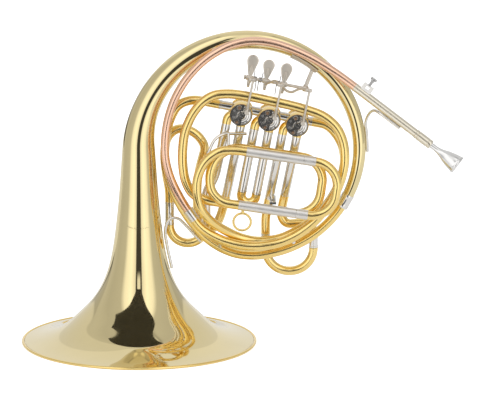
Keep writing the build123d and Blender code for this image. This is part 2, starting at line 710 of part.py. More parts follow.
def lever_axle():
    axle = cross_bar(AXLE_LEFT, AXLE_RIGHT, AXLE_U, AXLE_Y, AXLE_R)
    axle += cross_bar(AXLE_LEFT - 2.2, AXLE_LEFT, AXLE_U, AXLE_Y, 3.2)
    return axle + cross_bar(AXLE_RIGHT, AXLE_RIGHT + 2.2, AXLE_U, AXLE_Y, 3.2)


def lever_post():
    """From a saddle under the bell tail down to the axle's right end."""
    saddle_angles = (49.5, 66.0)
    place = Plane(origin=(COIL_X, 0, COIL_Z), x_dir=(1, 0, 0), z_dir=(0, -1, 0))
    path = place * CenterArc((0, 0), COIL_R, saddle_angles[0], saddle_angles[1] - saddle_angles[0])
    inner = tail_radius(saddle_angles[1]) + 0.05
    saddle = swept(path, inner + 1.4) - swept(path, inner)
    inside = Pos(COIL_X, 0, COIL_Z) * Rot(90, 0, 0) * Cylinder(COIL_R - 5.5, 60)
    saddle = saddle & inside
    foot = valve_point(POST_ACROSS + 2.5, AXLE_U, AXLE_Y)
    top = coil_point(51.5, -1.0, COIL_R - inner - 1.2)
    eye = cross_bar(POST_ACROSS, POST_ACROSS + 5, AXLE_U, AXLE_Y, 4.4)
    post = bar(foot, top, 2.6) + eye + saddle
    post -= cross_bar(AXLE_RIGHT, AXLE_RIGHT + 2.2, AXLE_U, AXLE_Y, 3.2)
    return post - cross_bar(POST_ACROSS - 3, POST_ACROSS + 8, AXLE_U, AXLE_Y, AXLE_R)


save("lever_axle", lever_axle())
save("lever_post", lever_post())
save("lever_springs", *[lever_spring(across, side) for across, side in zip(LEVERS, SPRING_SIDES)])
for number, valve in enumerate(VALVES, 1):
    save(f"lever_{number}", lever(valve, LEVERS[number - 1]))
    save(f"link_rod_{number}", link_rod(valve))

# ------------------------------------------------------------------ mouthpiece and receiver
def mouthpiece():
    """Turned about its axis: shank tip at the plane's origin, cup rim 65 mm further."""
    shank = Polyline((2.7, 0, 0), (SHANK_TIP_R, 0, 0), (SHANK_MOUTH_R, 0, SHANK_DEPTH),
                     (3.7, 0, 26))
    cup = Spline((3.7, 0, 26), (4.3, 0, 33), (5.9, 0, 38.5), (8.0, 0, 44), (10.0, 0, 51),
                 (11.4, 0, 57), (12.0, 0, 60.5), tangents=[(0, 0, 1), (0.1, 0, 1)])
    rim = ThreePointArc((12.0, 0, 60.5), (12.6, 0, 63.8), (10.6, 0, 65))
    lip = ThreePointArc((10.6, 0, 65), (9.2, 0, 64.5), (8.7, 0, 63))
    funnel = Spline((8.7, 0, 63), (7.6, 0, 57), (5.2, 0, 49), (3.0, 0, 42), (2.2, 0, 37))
    bore = Polyline((2.2, 0, 37), (2.2, 0, 20), (2.7, 0, 0))
    solid = revolve(make_face([*shank.edges(), cup, rim, lip, funnel, *bore.edges()]), Axis.Z)
    return Plane(origin=lead_point(RECEIVER_END - SHANK_DEPTH), z_dir=LEAD_WAY) * solid


def receiver():
    length = RECEIVER_END - SLEEVE_END
    body = Cylinder(6.1, length, align=(Align.CENTER, Align.CENTER, Align.MIN))
    body = fillet(body.edges().sort_by(Axis.Z)[-1], 1.5)
    taper_cut = Cone(SHANK_TIP_R + FIT, SHANK_MOUTH_R + FIT, SHANK_DEPTH,
                     align=(Align.CENTER, Align.CENTER, Align.MAX))
    body -= Pos(0, 0, length) * taper_cut
    body -= Cylinder(SHANK_TIP_R, length, align=(Align.CENTER, Align.CENTER, Align.MIN))
    return Plane(origin=lead_point(SLEEVE_END), z_dir=LEAD_WAY) * body


save("mouthpiece", mouthpiece())
save("mouthpiece_receiver", receiver())

# ------------------------------------------------------------------ lyre socket
def socket_plane():
    away = Vector(0, -1, 0).cross(LEAD_WAY)
    return Plane(origin=lead_point(SOCKET_PLACE), x_dir=tuple(LEAD_WAY), z_dir=away)


def lyre_socket():
    long, wide, high = SOCKET_SIZE
    block = Pos(0, 0, SOCKET_BASE + high / 2) * Box(long, wide, high)
    block = fillet(block.edges().filter_by(Axis.Y), 1.2)
    block -= Pos(0, 0, SOCKET_BASE + high / 2 + 0.3) * Box(SOCKET_HOLE, wide + 2, SOCKET_HOLE)
    block -= Pos(0, 0, SOCKET_BASE + high) * Cylinder(SCREW_R + FIT, 8)
    block -= Rot(0, 90, 0) * Cylinder(LEAD_R, long + 2)
    return socket_plane() * block


def thumb_screw():
    base = SOCKET_BASE + SOCKET_SIZE[2] - 2.0
    head_at = base + SCREW_REACH
    low = (Align.CENTER, Align.CENTER, Align.MIN)
    screw = Pos(0, 0, base) * Cylinder(SCREW_R, SCREW_REACH, align=low)
    screw += Pos(0, 0, head_at - 2.5) * Cone(2.6, 2.2, 2.5, align=low)
    head = Pos(0, 0, head_at) * Cylinder(SCREW_HEAD_R, 2.8, align=low)
    for tooth in range(12):
        notch = Pos(SCREW_HEAD_R + 0.4, 0, head_at) * Cylinder(0.8, 2.8, align=low)
        head -= Rot(0, 0, tooth * 30) * notch
    return socket_plane() * (screw + head)


save("lyre_socket", lyre_socket())
save("lyre_thumbscrew", thumb_screw())

# ------------------------------------------------------------------ braces and finger ring
def leadpipe_brace():
    """A bent rod soldered along the bell tail's right side and under the leadpipe's sleeve."""
    away = Vector(0, -1, 0).cross(LEAD_WAY).normalized()
    beside = COIL_R + tail_radius(6) + BRACE_R + 0.05
    under = [tuple(Vector(*lead_point(t)) - away * (LEAD_R + BRACE_R)) for t in (76, 108)]
    points = [coil_point(-2, 0, beside), coil_point(6, 0, beside), coil_point(13, -1, beside + 0.6),
              (303, -11, 312), (309, -25, 319)]
    return swept(soft_path(points + under), BRACE_R) - TAIL_SOLID


def bell_brace():
    """A bent rod soldered up the bell's side and down the outlet branch's lower left."""
    points = [(43.6, 0, 100), (38.0, 0, 125), (34.0, 0, 149), (37.5, 0, 165), (50, 0, 169.5),
              (59.5, 0, 160.5), (81.6, 0, 135.8)]
    return swept(soft_path(points), BRACE_R)


def bridge(a, b, radius, *cuts):
    """A short post between two tubes, ended where it meets each of them."""
    post = bar(a, b, radius)
    for path, cut in cuts:
        post -= swept(path, cut)
    return post


def tube_bridges():
    coil = (COIL, COIL_TUBE_R)
    outlet = (OUTLET, TUBE_R)
    feed = (FEED, TUBE_R)
    return [
        bridge((106.5, -2, 129.5), (107.5, -17, 141.5), 2.2, coil, outlet),
        bridge((157, -17, 134.2), (157, -7, 136.4), 2.6, coil, feed),
        bridge((271.2, -17, 248), (271.2, -6, 248), 2.6, coil, feed),
        bridge((205, -7, 151), (204, -1, 130), 2.2, feed, outlet),
    ]


def tail_bridges():
    posts = []
    for x, z in ((178, 407.3), (247, 376.5), (100, 396)):
        post = bar((x, LEAD_Y, z), (x, -4, z - 0.5), 2.6)
        posts.append(post - swept(LEADPIPE, LEAD_R) - TAIL_SOLID)
    return posts


def valve_brace():
    points = [(142, -12.1, 284), (110, -12.1, 284), (99, -18, 277), (91, -31, 261)]
    rail = swept(soft_path(points), BRACE_R)
    rail += bar((118, -12.1, 284), (118.5, -19.5, 270), BRACE_R)
    for across in (-VALVE_PITCH + LEFT_LEG, -VALVE_PITCH + RIGHT_LEG):
        rail -= bar(valve_point(across, KNUCKLE_END, PORT_Y), valve_point(across, TILT_U, PORT_Y),
                    VALVE_TUBE_R)
    return rail - swept(REAR, TUBE_R) - swept(FEED, TUBE_R)


def slide_brace():
    """A flat plate with an oval window from the lower sleeve back to the third valve's leg."""
    plate = Pos(176.5, -12, 195) * Box(9, 42, 3)
    window = Pos(176.5, -20, 195) * Box(4, 12, 5)
    plate -= fillet(window.edges().filter_by(Axis.Z), 1.9)
    sleeve = bar(oval_point(-30, MAIN_SPAN, OVAL_FRONT), oval_point(30, MAIN_SPAN, OVAL_FRONT),
                 SLEEVE_R)
    return plate - sleeve - swept(soft_path(third_left), VALVE_TUBE_R)


def finger_ring():
    ring = Pos(136, OVAL_FRONT, 170.4) * Rot(90, 0, 0) * Torus(11.4, 1.6)
    foot = bar((136.6, OVAL_FRONT, 182), (137.4, OVAL_FRONT, 189), 2.7)
    sleeve = bar(oval_point(-43, MAIN_SPAN, OVAL_FRONT), oval_point(0, MAIN_SPAN, OVAL_FRONT),
                 SLEEVE_R)
    return ring + (foot - sleeve)


save("leadpipe_brace", leadpipe_brace())
save("bell_brace", bell_brace())
save("tube_bridges", *tube_bridges(), *tail_bridges())
save("valve_brace", valve_brace())
save("slide_brace", slide_brace())
save("finger_ring", finger_ring())
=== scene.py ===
import json
import math

import bmesh
import bpy
import numpy as np
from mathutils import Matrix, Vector

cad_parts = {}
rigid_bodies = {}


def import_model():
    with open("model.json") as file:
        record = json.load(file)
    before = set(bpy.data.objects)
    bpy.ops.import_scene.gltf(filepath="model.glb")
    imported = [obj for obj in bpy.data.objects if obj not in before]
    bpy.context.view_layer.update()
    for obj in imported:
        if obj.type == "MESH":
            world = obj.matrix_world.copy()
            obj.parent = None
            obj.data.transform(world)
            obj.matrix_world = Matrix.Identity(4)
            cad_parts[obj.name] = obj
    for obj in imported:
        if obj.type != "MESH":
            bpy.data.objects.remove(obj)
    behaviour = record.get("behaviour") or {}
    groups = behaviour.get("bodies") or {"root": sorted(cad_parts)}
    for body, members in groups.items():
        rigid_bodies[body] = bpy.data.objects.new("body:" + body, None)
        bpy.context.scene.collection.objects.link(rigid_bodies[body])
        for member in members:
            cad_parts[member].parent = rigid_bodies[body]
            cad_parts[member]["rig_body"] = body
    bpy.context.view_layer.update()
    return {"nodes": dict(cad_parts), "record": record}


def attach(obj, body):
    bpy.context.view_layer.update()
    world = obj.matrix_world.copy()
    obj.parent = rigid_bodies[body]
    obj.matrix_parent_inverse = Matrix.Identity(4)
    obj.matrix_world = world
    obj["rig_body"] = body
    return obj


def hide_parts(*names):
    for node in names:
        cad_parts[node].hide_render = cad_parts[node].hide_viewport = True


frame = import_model()

# ---------------------------------------------------------------- dimensions, in millimetres
MM = 0.001
WALL = 0.6
SHEET = 0.7                      # bell wall
SPACING = 6.0                    # longest step along a straight run
BEND_SHARE = 0.94                # how much of its two runs a bend may take
COIL_R, COIL_X, COIL_Z = 145.0, 145.0, 262.5
TAIL_END, TAIL_SMALL = -26.0, 7.6
TAIL_TAPER, TAIL_BLEND, THROAT_R = 0.0145, 80, 21.5
FERRULE_ANGLE = -32.6
RIM_RADIUS, RIM_WIRE, RIM_HEIGHT = 153.2, 1.9, 1.7
TUBE_R, COIL_TUBE_R, LEAD_R = 6.1, 6.25, 5.5
SLEEVE_R, LEG_R = 6.5, 5.9
VALVE_BORE, VALVE_PITCH, VALVE_TILT = 13.5, 37.5, math.radians(10.9)
VALVE_MID = (171.4, 303.7)
VALVE_FRONT, VALVE_BACK = -20.0, 12.0
PORT_Y, PORT_U, PORT_REACH = -4.0, 5.5, 12.8
RIGHT_LEG, LEFT_LEG = 3.0, -16.2
VALVE_TUBE_R, VALVE_LEG_R, VALVE_LEG_BORE = 6.0, 5.35, 4.9
LEG_CLEARANCE = 0.05             # between a slide's leg and its sleeve
CRANK_R, CRANK_REST = 27.0, math.radians(8.0)
STOP_ARM, STOP_REST = 9.0, math.radians(45)
AXLE_U, AXLE_Y, AXLE_R = 47.5, -3.0, 2.0
AXLE_LEFT, AXLE_RIGHT, AXLE_CAP = -40.6, 41.0, 2.2
SPRING_R, SPRING_WIRE = 3.1, 0.6
BRACE_R = 2.0
OVAL_AT = (185.0, 258.3)
OVAL_FRONT, OVAL_BACK, OVAL_TILT, MAIN_SPAN = -34.0, -20.5, math.radians(8.4), 72.5
VALVES = (-1, 0, 1)
SLIDE_GAP = 0.3                  # seam between a slide and the end of its sleeve
OUTLET_SLEEVE, INLET_SLEEVE = -68.0, 56.5        # how far the ports reach, across
KNUCKLE_END, ELBOW_U = -18.0, -4.0
LEAD_START = np.array((260.9, -20.0, 366.0))     # the leadpipe's straight, and places along it
LEAD_WAY = np.array((0.794, -0.176, -0.582))
LEAD_WAY /= np.linalg.norm(LEAD_WAY)
LEAD_SEAM, SLEEVE_END, RECEIVER_END = 28.1, 128.7, 154.0
LEAD_Y = -19.0
LEAD_LOW, COIL_LOW = (64.5, LEAD_Y, 183.4), (73.5, LEAD_Y, 170.0)
LINK_DROP, BACK_RISE, BACK_START, BACK_FAR, BACK_BEND = 75.5, -0.7, -64.7, 61, 31
SLEEVE_LEFT, SLEEVE_RIGHT, FERRULE_END, BOW_FAR, BOW_BEND = -43.7, 32.2, 48.2, 80.7, 31.5
TILT_U = -45.0
FIRST = (40.4, 88.4, 16.0, 186.0, 156.0)         # left, right, depth, sleeve top and bottom
THIRD = (167.0, 230.0, 14.0, 144.0, 125.0)
SECOND_BOTTOM, SECOND_BEND = -104.0, -117.0
GOLD_BELOW = 197.0               # the outer valves' nickel legs turn gold at this height
LEVERS = (-35.2, -13.5, 10.2)    # places along the axle
PADDLE_FOOT, PADDLE_FOOT_R, PADDLE_R = 5.5, 3.0, 7.75
PADDLE_HEADS = (23.7, 21.3, 20.9)
SPRING_SIDES = (1, -1, -1)
ROD_Y = AXLE_Y - CRANK_R * math.cos(CRANK_REST)
ROD_TOP = AXLE_U + CRANK_R * math.sin(CRANK_REST)
ROD_BOTTOM = STOP_ARM * math.sin(STOP_REST)
CRANK_BENDS = (((-35.0, 42.5, -8), (-34.6, 45.5, -19)),
               ((-9.0, 48.0, -12), (-2.5, 54.0, -20), (1.5, 52.5, -27)),
               ((13.5, 41.5, -9), (21.5, 40.5, -14), (33.5, 52.0, -23)))
SHANK_DEPTH = 21.0               # how far the mouthpiece sits in its receiver
BUMPERS, BUMPER_RADIUS = (113.0, 247.0), 10.3    # stop corks: angles, distance from the axis
BUMPER_BACK = -21.4
SCREWS = (40.0, 68.0, 180.0, 208.0, 292.0, 320.0)
FLARE = ((151.3, 2.9), (140.0, 4.8), (122.0, 9.6), (104.0, 17.5), (82.0, 36.0), (65.0, 53.5),
         (49.5, 77.0), (38.3, 109.0), (30.3, 158.0), (25.4, 207.0),
         (THROAT_R, COIL_Z))             # the bell's outside: radius, height

# ---------------------------------------------------------------- places
def coil_point(degrees, y=0.0, radius=COIL_R):
    """A place round the arc of the bell's tail."""
    turn = math.radians(degrees)
    return (COIL_X + radius * math.cos(turn), y, COIL_Z + radius * math.sin(turn))


def valve_point(across, up, y):
    """A place in the valves' tilted frame, from the middle valve's axis."""
    c, s = math.cos(VALVE_TILT), math.sin(VALVE_TILT)
    return (VALVE_MID[0] + across * c + up * s, y, VALVE_MID[1] - across * s + up * c)


def oval_point(along, down, y):
    """A place in the main tuning slide's tilted frame, from a point on its upper leg."""
    c, s = math.cos(OVAL_TILT), math.sin(OVAL_TILT)
    return (OVAL_AT[0] + along * c - down * s, y, OVAL_AT[1] - along * s - down * c)


def polar(valve, degrees, distance, y):
    """A place round one valve's axis."""
    turn = math.radians(degrees)
    return valve_point(valve * VALVE_PITCH + distance * math.cos(turn),
                       distance * math.sin(turn), y)


def lead_point(distance):
    """A place along the leadpipe's straight."""
    return tuple(LEAD_START + LEAD_WAY * distance)


# ---------------------------------------------------------------- lines
def unit(v):
    return v / np.linalg.norm(v)


def straight(line, end):
    """Carries a line on to end in even steps."""
    start = line[-1]
    steps = max(1, math.ceil(np.linalg.norm(end - start) / SPACING))
    for k in range(1, steps + 1):
        line.append(start + (end - start) * k / steps)


def rounded(points, radius=None, step=3.0):
    """Straight runs joined by tangent arcs, as points along the line."""
    p = [np.array(q, float) for q in points]
    last = len(p) - 2
    line = [p[0]]
    for i in range(1, last + 1):
        before, after = p[i] - p[i - 1], p[i + 1] - p[i]
        u, w = unit(before), unit(after)
        turn = math.acos(max(-1.0, min(1.0, float(u @ w))))
        if radius is None:
            room = min(np.linalg.norm(before) * (BEND_SHARE if i == 1 else BEND_SHARE / 2),
                       np.linalg.norm(after) * (BEND_SHARE if i == last else BEND_SHARE / 2))
            bend = room / math.tan(turn / 2)
        else:
            bend, room = radius, radius * math.tan(turn / 2)
        normal = unit(w - u * (u @ w))
        arc_start = p[i] - u * room
        centre = arc_start + normal * bend
        straight(line, arc_start)
        count = max(3, math.ceil(math.degrees(turn) / step))
        for k in range(1, count + 1):
            a = turn * k / count
            line.append(centre + bend * (math.sin(a) * u - math.cos(a) * normal))
    straight(line, p[-1])
    kept = [line[0]]
    for q in line[1:]:
        if np.linalg.norm(q - kept[-1]) > 1e-3:
            kept.append(q)
    return np.array(kept)


def frames(line):
    """A pair of cross directions at each point, turning as little as they can."""
    ways = np.diff(line, axis=0)
    ways /= np.linalg.norm(ways, axis=1)[:, None]
    tangents = np.vstack([ways[:1], ways[:-1] + ways[1:], ways[-1:]])
    tangents /= np.linalg.norm(tangents, axis=1)[:, None]
    side = np.cross(tangents[0], (0.0, 1.0, 0.0))
    if np.linalg.norm(side) < 0.2:
        side = np.cross(tangents[0], (1.0, 0.0, 0.0))
    sides = []
    for t in tangents:
        side = unit(side - t * (side @ t))
        sides.append(side)
    sides = np.array(sides)
    return sides, np.cross(tangents, sides)


def spline(points, count):
    """A smooth curve through points, evenly stepped by chord length."""
    p = np.array(points, float)
    t = np.concatenate([[0], np.cumsum(np.linalg.norm(np.diff(p, axis=0), axis=1))])
    n = len(t)
    h = np.diff(t)
    a = np.eye(n)
    rhs = np.zeros((n, p.shape[1]))
    for i in range(1, n - 1):
        a[i, i - 1:i + 2] = h[i - 1], 2 * (h[i - 1] + h[i]), h[i]
        rhs[i] = 6 * ((p[i + 1] - p[i]) / h[i] - (p[i] - p[i - 1]) / h[i - 1])
    m = np.linalg.solve(a, rhs)
    out = []
    for x in np.linspace(0, t[-1], count):
        i = min(np.searchsorted(t, x, side="right") - 1, n - 2)
        u, v = t[i + 1] - x, x - t[i]
        out.append((m[i] * u ** 3 + m[i + 1] * v ** 3) / (6 * h[i])
                   + (p[i] / h[i] - m[i] * h[i] / 6) * u
                   + (p[i + 1] / h[i] - m[i + 1] * h[i] / 6) * v)
    return np.array(out)


# ---------------------------------------------------------------- shapes: (points, faces)
def rings_to_shape(rings, closed):
    """Quads between rings of equal length; closed joins the last ring to the first."""
    n = len(rings[0])
    points = [tuple(q) for ring in rings for q in ring]
    faces = []
    for k in range(len(rings) if closed else len(rings) - 1):
        a, b = k * n, ((k + 1) % len(rings)) * n
        faces += [(a + i, a + (i + 1) % n, b + (i + 1) % n, b + i) for i in range(n)]
    if not closed:
        faces.append(tuple(range(n))[::-1])
        faces.append(tuple(range((len(rings) - 1) * n, len(rings) * n)))
    return points, faces


def ring(centre, side, up, radius, around):
    angles = np.linspace(0, 2 * math.pi, around, endpoint=False)
    return (np.asarray(centre) + radius * (np.cos(angles)[:, None] * side
                                           + np.sin(angles)[:, None] * up))


def tube(line, outer, wall=WALL, around=36):
    """A round tube along a line, with both of its skins."""
    sides, ups = frames(line)
    outers = np.broadcast_to(outer, len(line))
    skins = [ring(c, s, u, r, around) for c, s, u, r in zip(line, sides, ups, outers)]
    inners = [ring(c, s, u, r - wall, around) for c, s, u, r in zip(line, sides, ups, outers)]
    return rings_to_shape(skins + inners[::-1], True)


def rod(line, radius, around):
    """A solid round rod along a line, its ends softened."""
    sides, ups = frames(line)
    radii = np.broadcast_to(radius, len(line)).copy()
    skins = [ring(c, s, u, r, around) for c, s, u, r in zip(line, sides, ups, radii)]
    cut = min(0.35, radii.min() / 3)
    head = [ring(line[0], sides[0], ups[0], radii[0] - cut, around)]
    skins[0] = ring(line[0] + unit(line[1] - line[0]) * cut, sides[0], ups[0], radii[0], around)
    tail = [ring(line[-1], sides[-1], ups[-1], radii[-1] - cut, around)]
    skins[-1] = ring(line[-1] - unit(line[-1] - line[-2]) * cut, sides[-1], ups[-1], radii[-1],
                     around)
    return rings_to_shape(head + skins + tail, False)


def turned(profile, start, end, around=40, knurl=None):
    """Spins a closed profile of (along, radius) about the line from start towards end.
    knurl is (lowest radius, depth, teeth): points beyond that radius get a toothed edge."""
    start, end = np.array(start, float), np.array(end, float)
    way = unit(end - start)
    side = np.cross(way, (0.0, 0.0, 1.0))
    if np.linalg.norm(side) < 0.2:
        side = np.cross(way, (0.0, 1.0, 0.0))
    side = unit(side)
    up = np.cross(way, side)
    if knurl:
        around = knurl[2] * 4
    points, faces, places = [], [], []
    for along, radius in profile:
        centre = start + way * along
        if radius < 1e-6:
            places.append([len(points)])
            points.append(tuple(centre))
            continue
        loop = ring(centre, side, up, radius, around)
        if knurl and radius > knurl[0]:
            teeth = np.where(np.arange(around) % 4 < 2, 0.0, knurl[1])[:, None]
            loop = loop + teeth * (loop - centre) / radius
        places.append(list(range(len(points), len(points) + around)))
        points += [tuple(q) for q in loop]
    for a, b in zip(places, places[1:] + places[:1]):
        if len(a) == 1 and len(b) == 1:
            continue
        for i in range(around):
            j = (i + 1) % around
            quad = [a[0]] if len(a) == 1 else [a[i], a[j]]
            quad += [b[0]] if len(b) == 1 else [b[j], b[i]]
            faces.append(tuple(quad))
    return points, faces


def span(a, b):
    return float(np.linalg.norm(np.array(b, float) - np.array(a, float)))


def disc(start, end, radius, soft, around):
    """A solid round bar with softened edges."""
    length = span(start, end)
    soft = min(soft, radius / 2.5, length / 2.5)
    profile = [(0, 0), (0, radius - soft), (soft * 0.3, radius - soft * 0.3), (soft, radius),
               (length - soft, radius), (length - soft * 0.3, radius - soft * 0.3),
               (length, radius - soft), (length, 0)]
    return turned(profile, start, end, around)


def sleeve(start, end, radius, bore, beads=(True, True)):
    """A straight tube with softened edges and a small raised band at the chosen ends."""
    length = span(start, end)
    soft, rise, width = 0.25, 0.35, 2.6
    outer = [(0, radius - soft), (soft, radius)]
    if beads[0]:
        outer = [(0, radius), (0.3, radius + rise), (width - 0.3, radius + rise), (width, radius)]
    other = [(length - soft, radius), (length, radius - soft)]
    if beads[1]:
        other = [(length - width, radius), (length - width + 0.3, radius + rise),
                 (length - 0.3, radius + rise), (length, radius)]
    return turned([(0, bore)] + outer + other + [(length, bore)], start, end)


def torus(centre, radius, wire, way, around=72, ring_count=18):
    start = np.array(centre, float)
    profile = [(wire * math.sin(a), radius + wire * math.cos(a))
               for a in np.linspace(0, 2 * math.pi, ring_count, endpoint=False)]
    return turned(profile, start, start + np.array(way, float), around)


# ---------------------------------------------------------------- finishes
def finish(name, colour, rough, rough_range, tint, bump, bump_scale, coat=0.0, metallic=1.0,
           cloud=14.0, streak=None):
    """A procedural metal: cloudy tint, patchy polish, fine waviness and an optional lacquer."""
    mat = bpy.data.materials.new(name)
    mat.use_nodes = True
    nodes, links = mat.node_tree.nodes, mat.node_tree.links
    shader = nodes["Principled BSDF"]
    shader.inputs["Metallic"].default_value = metallic
    shader.inputs["Coat Weight"].default_value = coat
    shader.inputs["Coat Roughness"].default_value = 0.03
    place = nodes.new("ShaderNodeTexCoord")
    source = place.outputs["Object"]
    if streak:
        mapping = nodes.new("ShaderNodeMapping")
        mapping.inputs["Scale"].default_value = streak
        links.new(source, mapping.inputs["Vector"])
        streaked = mapping.outputs["Vector"]
    else:
        streaked = source
    clouds = nodes.new("ShaderNodeTexNoise")
    clouds.inputs["Scale"].default_value = cloud
    clouds.inputs["Detail"].default_value = 4.0
    links.new(source, clouds.inputs["Vector"])
    ramp = nodes.new("ShaderNodeValToRGB")
    low = [c * (1 - tint) for c in colour]
    high = [min(1.0, c * (1 + tint)) for c in colour]
    ramp.color_ramp.elements[0].position = 0.3
    ramp.color_ramp.elements[1].position = 0.7
    ramp.color_ramp.elements[0].color = (*low, 1)
    ramp.color_ramp.elements[1].color = (*high, 1)
    links.new(clouds.outputs["Fac"], ramp.inputs["Fac"])
    links.new(ramp.outputs["Color"], shader.inputs["Base Color"])
    smears = nodes.new("ShaderNodeTexNoise")
    smears.inputs["Scale"].default_value = 90.0
    smears.inputs["Detail"].default_value = 5.0
    links.new(streaked, smears.inputs["Vector"])
    polish = nodes.new("ShaderNodeMapRange")
    polish.inputs["From Min"].default_value = 0.3
    polish.inputs["From Max"].default_value = 0.7
    polish.inputs["To Min"].default_value = max(0.02, rough - rough_range)
    polish.inputs["To Max"].default_value = rough + rough_range
    links.new(smears.outputs["Fac"], polish.inputs["Value"])
    links.new(polish.outputs["Result"], shader.inputs["Roughness"])
    grain = nodes.new("ShaderNodeTexNoise")
    grain.inputs["Scale"].default_value = bump_scale
    grain.inputs["Detail"].default_value = 3.0
    links.new(streaked, grain.inputs["Vector"])
    height = nodes.new("ShaderNodeBump")
    height.inputs["Strength"].default_value = bump
    height.inputs["Distance"].default_value = 0.0002
    links.new(grain.outputs["Fac"], height.inputs["Height"])
    links.new(height.outputs["Normal"], shader.inputs["Normal"])
    return mat


BELL = finish("bell_lacquer", (0.83, 0.70, 0.38), 0.055, 0.02, 0.03, 0.02, 60, 0.35)
GOLD = finish("tube_lacquer", (0.97, 0.72, 0.27), 0.19, 0.04, 0.05, 0.03, 300, 0.30)
ROSE = finish("rose_lacquer", (0.93, 0.60, 0.43), 0.22, 0.03, 0.05, 0.03, 300, 0.30)
NICKEL = finish("nickel_polish", (0.80, 0.775, 0.735), 0.15, 0.05, 0.04, 0.05, 500, 0.0)
BRUSHED = finish("nickel_brushed", (0.80, 0.775, 0.74), 0.36, 0.05, 0.03, 0.06, 700, 0.0)
PALE = finish("nickel_warm", (0.80, 0.74, 0.61), 0.24, 0.05, 0.04, 0.05, 500, 0.0)
SATIN = finish("nickel_satin", (0.72, 0.665, 0.585), 0.44, 0.06, 0.05, 0.10, 900, 0.0,
               streak=(1.0, 1.0, 0.15))
SILVER = finish("silver_polish", (0.80, 0.79, 0.775), 0.12, 0.03, 0.03, 0.02, 300, 0.0)
STEEL = finish("steel", (0.50, 0.49, 0.48), 0.28, 0.06, 0.05, 0.05, 900)
BRONZE = finish("bronze", (0.62, 0.47, 0.30), 0.30, 0.08, 0.10, 0.08, 700)
CORK = finish("cork", (0.20, 0.12, 0.07), 0.85, 0.08, 0.35, 0.6, 1500, metallic=0.0, cloud=700)
SLOT_FINISH = {"lacquered_brass": GOLD, "rose_brass": ROSE, "nickel_silver": NICKEL,
               "silver_plate": SILVER, "rotor_bronze": BRONZE, "spring_steel": STEEL,
               "bumper_cork": CORK}


# ---------------------------------------------------------------- pieces
def piece(name, shapes, mat, node=None, body=None, sharp=38):
    """One object from several closed shapes. It stands for a CAD node, or is an added detail."""
    points, faces = [], []
    for more_points, more_faces in shapes:
        base = len(points)
        points += [(x * MM, y * MM, z * MM) for x, y, z in more_points]
        faces += [tuple(base + i for i in face) for face in more_faces]
    mesh = bpy.data.meshes.new(name)
    mesh.from_pydata(points, [], faces)
    bm = bmesh.new()
    bm.from_mesh(mesh)
    bmesh.ops.recalc_face_normals(bm, faces=bm.faces)
    bm.to_mesh(mesh)
    bm.free()
    mesh.shade_smooth()
    mesh.set_sharp_from_angle(angle=math.radians(sharp))
    mesh.materials.append(mat)
    obj = bpy.data.objects.new(name, mesh)
    bpy.context.scene.collection.objects.link(obj)
    if node:
        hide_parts(node)
        body = frame["nodes"][node]["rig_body"]
    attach(obj, body)
    return obj


# ---------------------------------------------------------------- bell
def tail_radius(degrees):
    length = math.radians(degrees - TAIL_END) * COIL_R
    full = math.radians(180 - TAIL_END) * COIL_R
    last = THROAT_R - TAIL_SMALL - TAIL_TAPER * full
    return TAIL_SMALL + TAIL_TAPER * length + last * math.exp((length - full) / TAIL_BLEND)


def bell_shape():
    """One skin from the rim up the flare and round the tail: radius against distance."""
    profile = [(z, r) for r, z in FLARE]
    for degrees in np.linspace(162, TAIL_END, 12):
        profile.append((COIL_Z + math.radians(180 - degrees) * COIL_R, tail_radius(degrees)))
    curve = spline(profile, 330)
    slope = np.gradient(curve, axis=0)
    slope /= np.linalg.norm(slope, axis=1)[:, None]
    inner = curve + SHEET * np.column_stack([slope[:, 1], -slope[:, 0]])
    inner[:, 0] = np.clip(inner[:, 0], 1.9, curve[-1, 0])

    def skin(rows):
        rings = []
        for s, r in rows:
            if s <= COIL_Z:
                rings.append(ring((0, 0, s), np.array((1.0, 0, 0)), np.array((0, 1.0, 0)), r, 144))
            else:
                turn = 180 - math.degrees((s - COIL_Z) / COIL_R)
                side = -np.array((math.cos(math.radians(turn)), 0, math.sin(math.radians(turn))))
                rings.append(ring(coil_point(turn), side, np.array((0, 1.0, 0)), r, 144))
        return rings
    return rings_to_shape(skin(curve) + skin(inner)[::-1], True)


bell = piece("bell_body", [bell_shape()], BELL, "bell_flare", sharp=60)
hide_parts("bell_tail")
wire = [(max(RIM_WIRE * math.sin(a), -RIM_HEIGHT), RIM_RADIUS + RIM_WIRE * math.cos(a))
        for a in np.linspace(0, 2 * math.pi, 24, endpoint=False)]
piece("bell_rim", [turned(wire, (0, 0, RIM_HEIGHT), (0, 0, RIM_HEIGHT + 1), 200)], GOLD,
      "bell_rim_wire")

# ---------------------------------------------------------------- branches
corner_r = COIL_R / math.cos(math.radians(7.5))
outlet = [coil_point(FERRULE_ANGLE)]
outlet += [coil_point(FERRULE_ANGLE - 15 * (k + 0.5), 0, corner_r) for k in range(4)]
outlet += [(130, 0, 118.5), (108, 0, 127), (88, 0, 141), (70, 0, 161), (54, -0.5, 186),
           (41, -1, 214), (34, -2, 244), (35, -3, 273), (40, -4, 300), (52, -4, 322),
           valve_point(-103, PORT_U, PORT_Y), valve_point(OUTLET_SLEEVE, PORT_U, PORT_Y)]
piece("outlet_tube", [tube(rounded(outlet), TUBE_R)], GOLD, "outlet_branch")

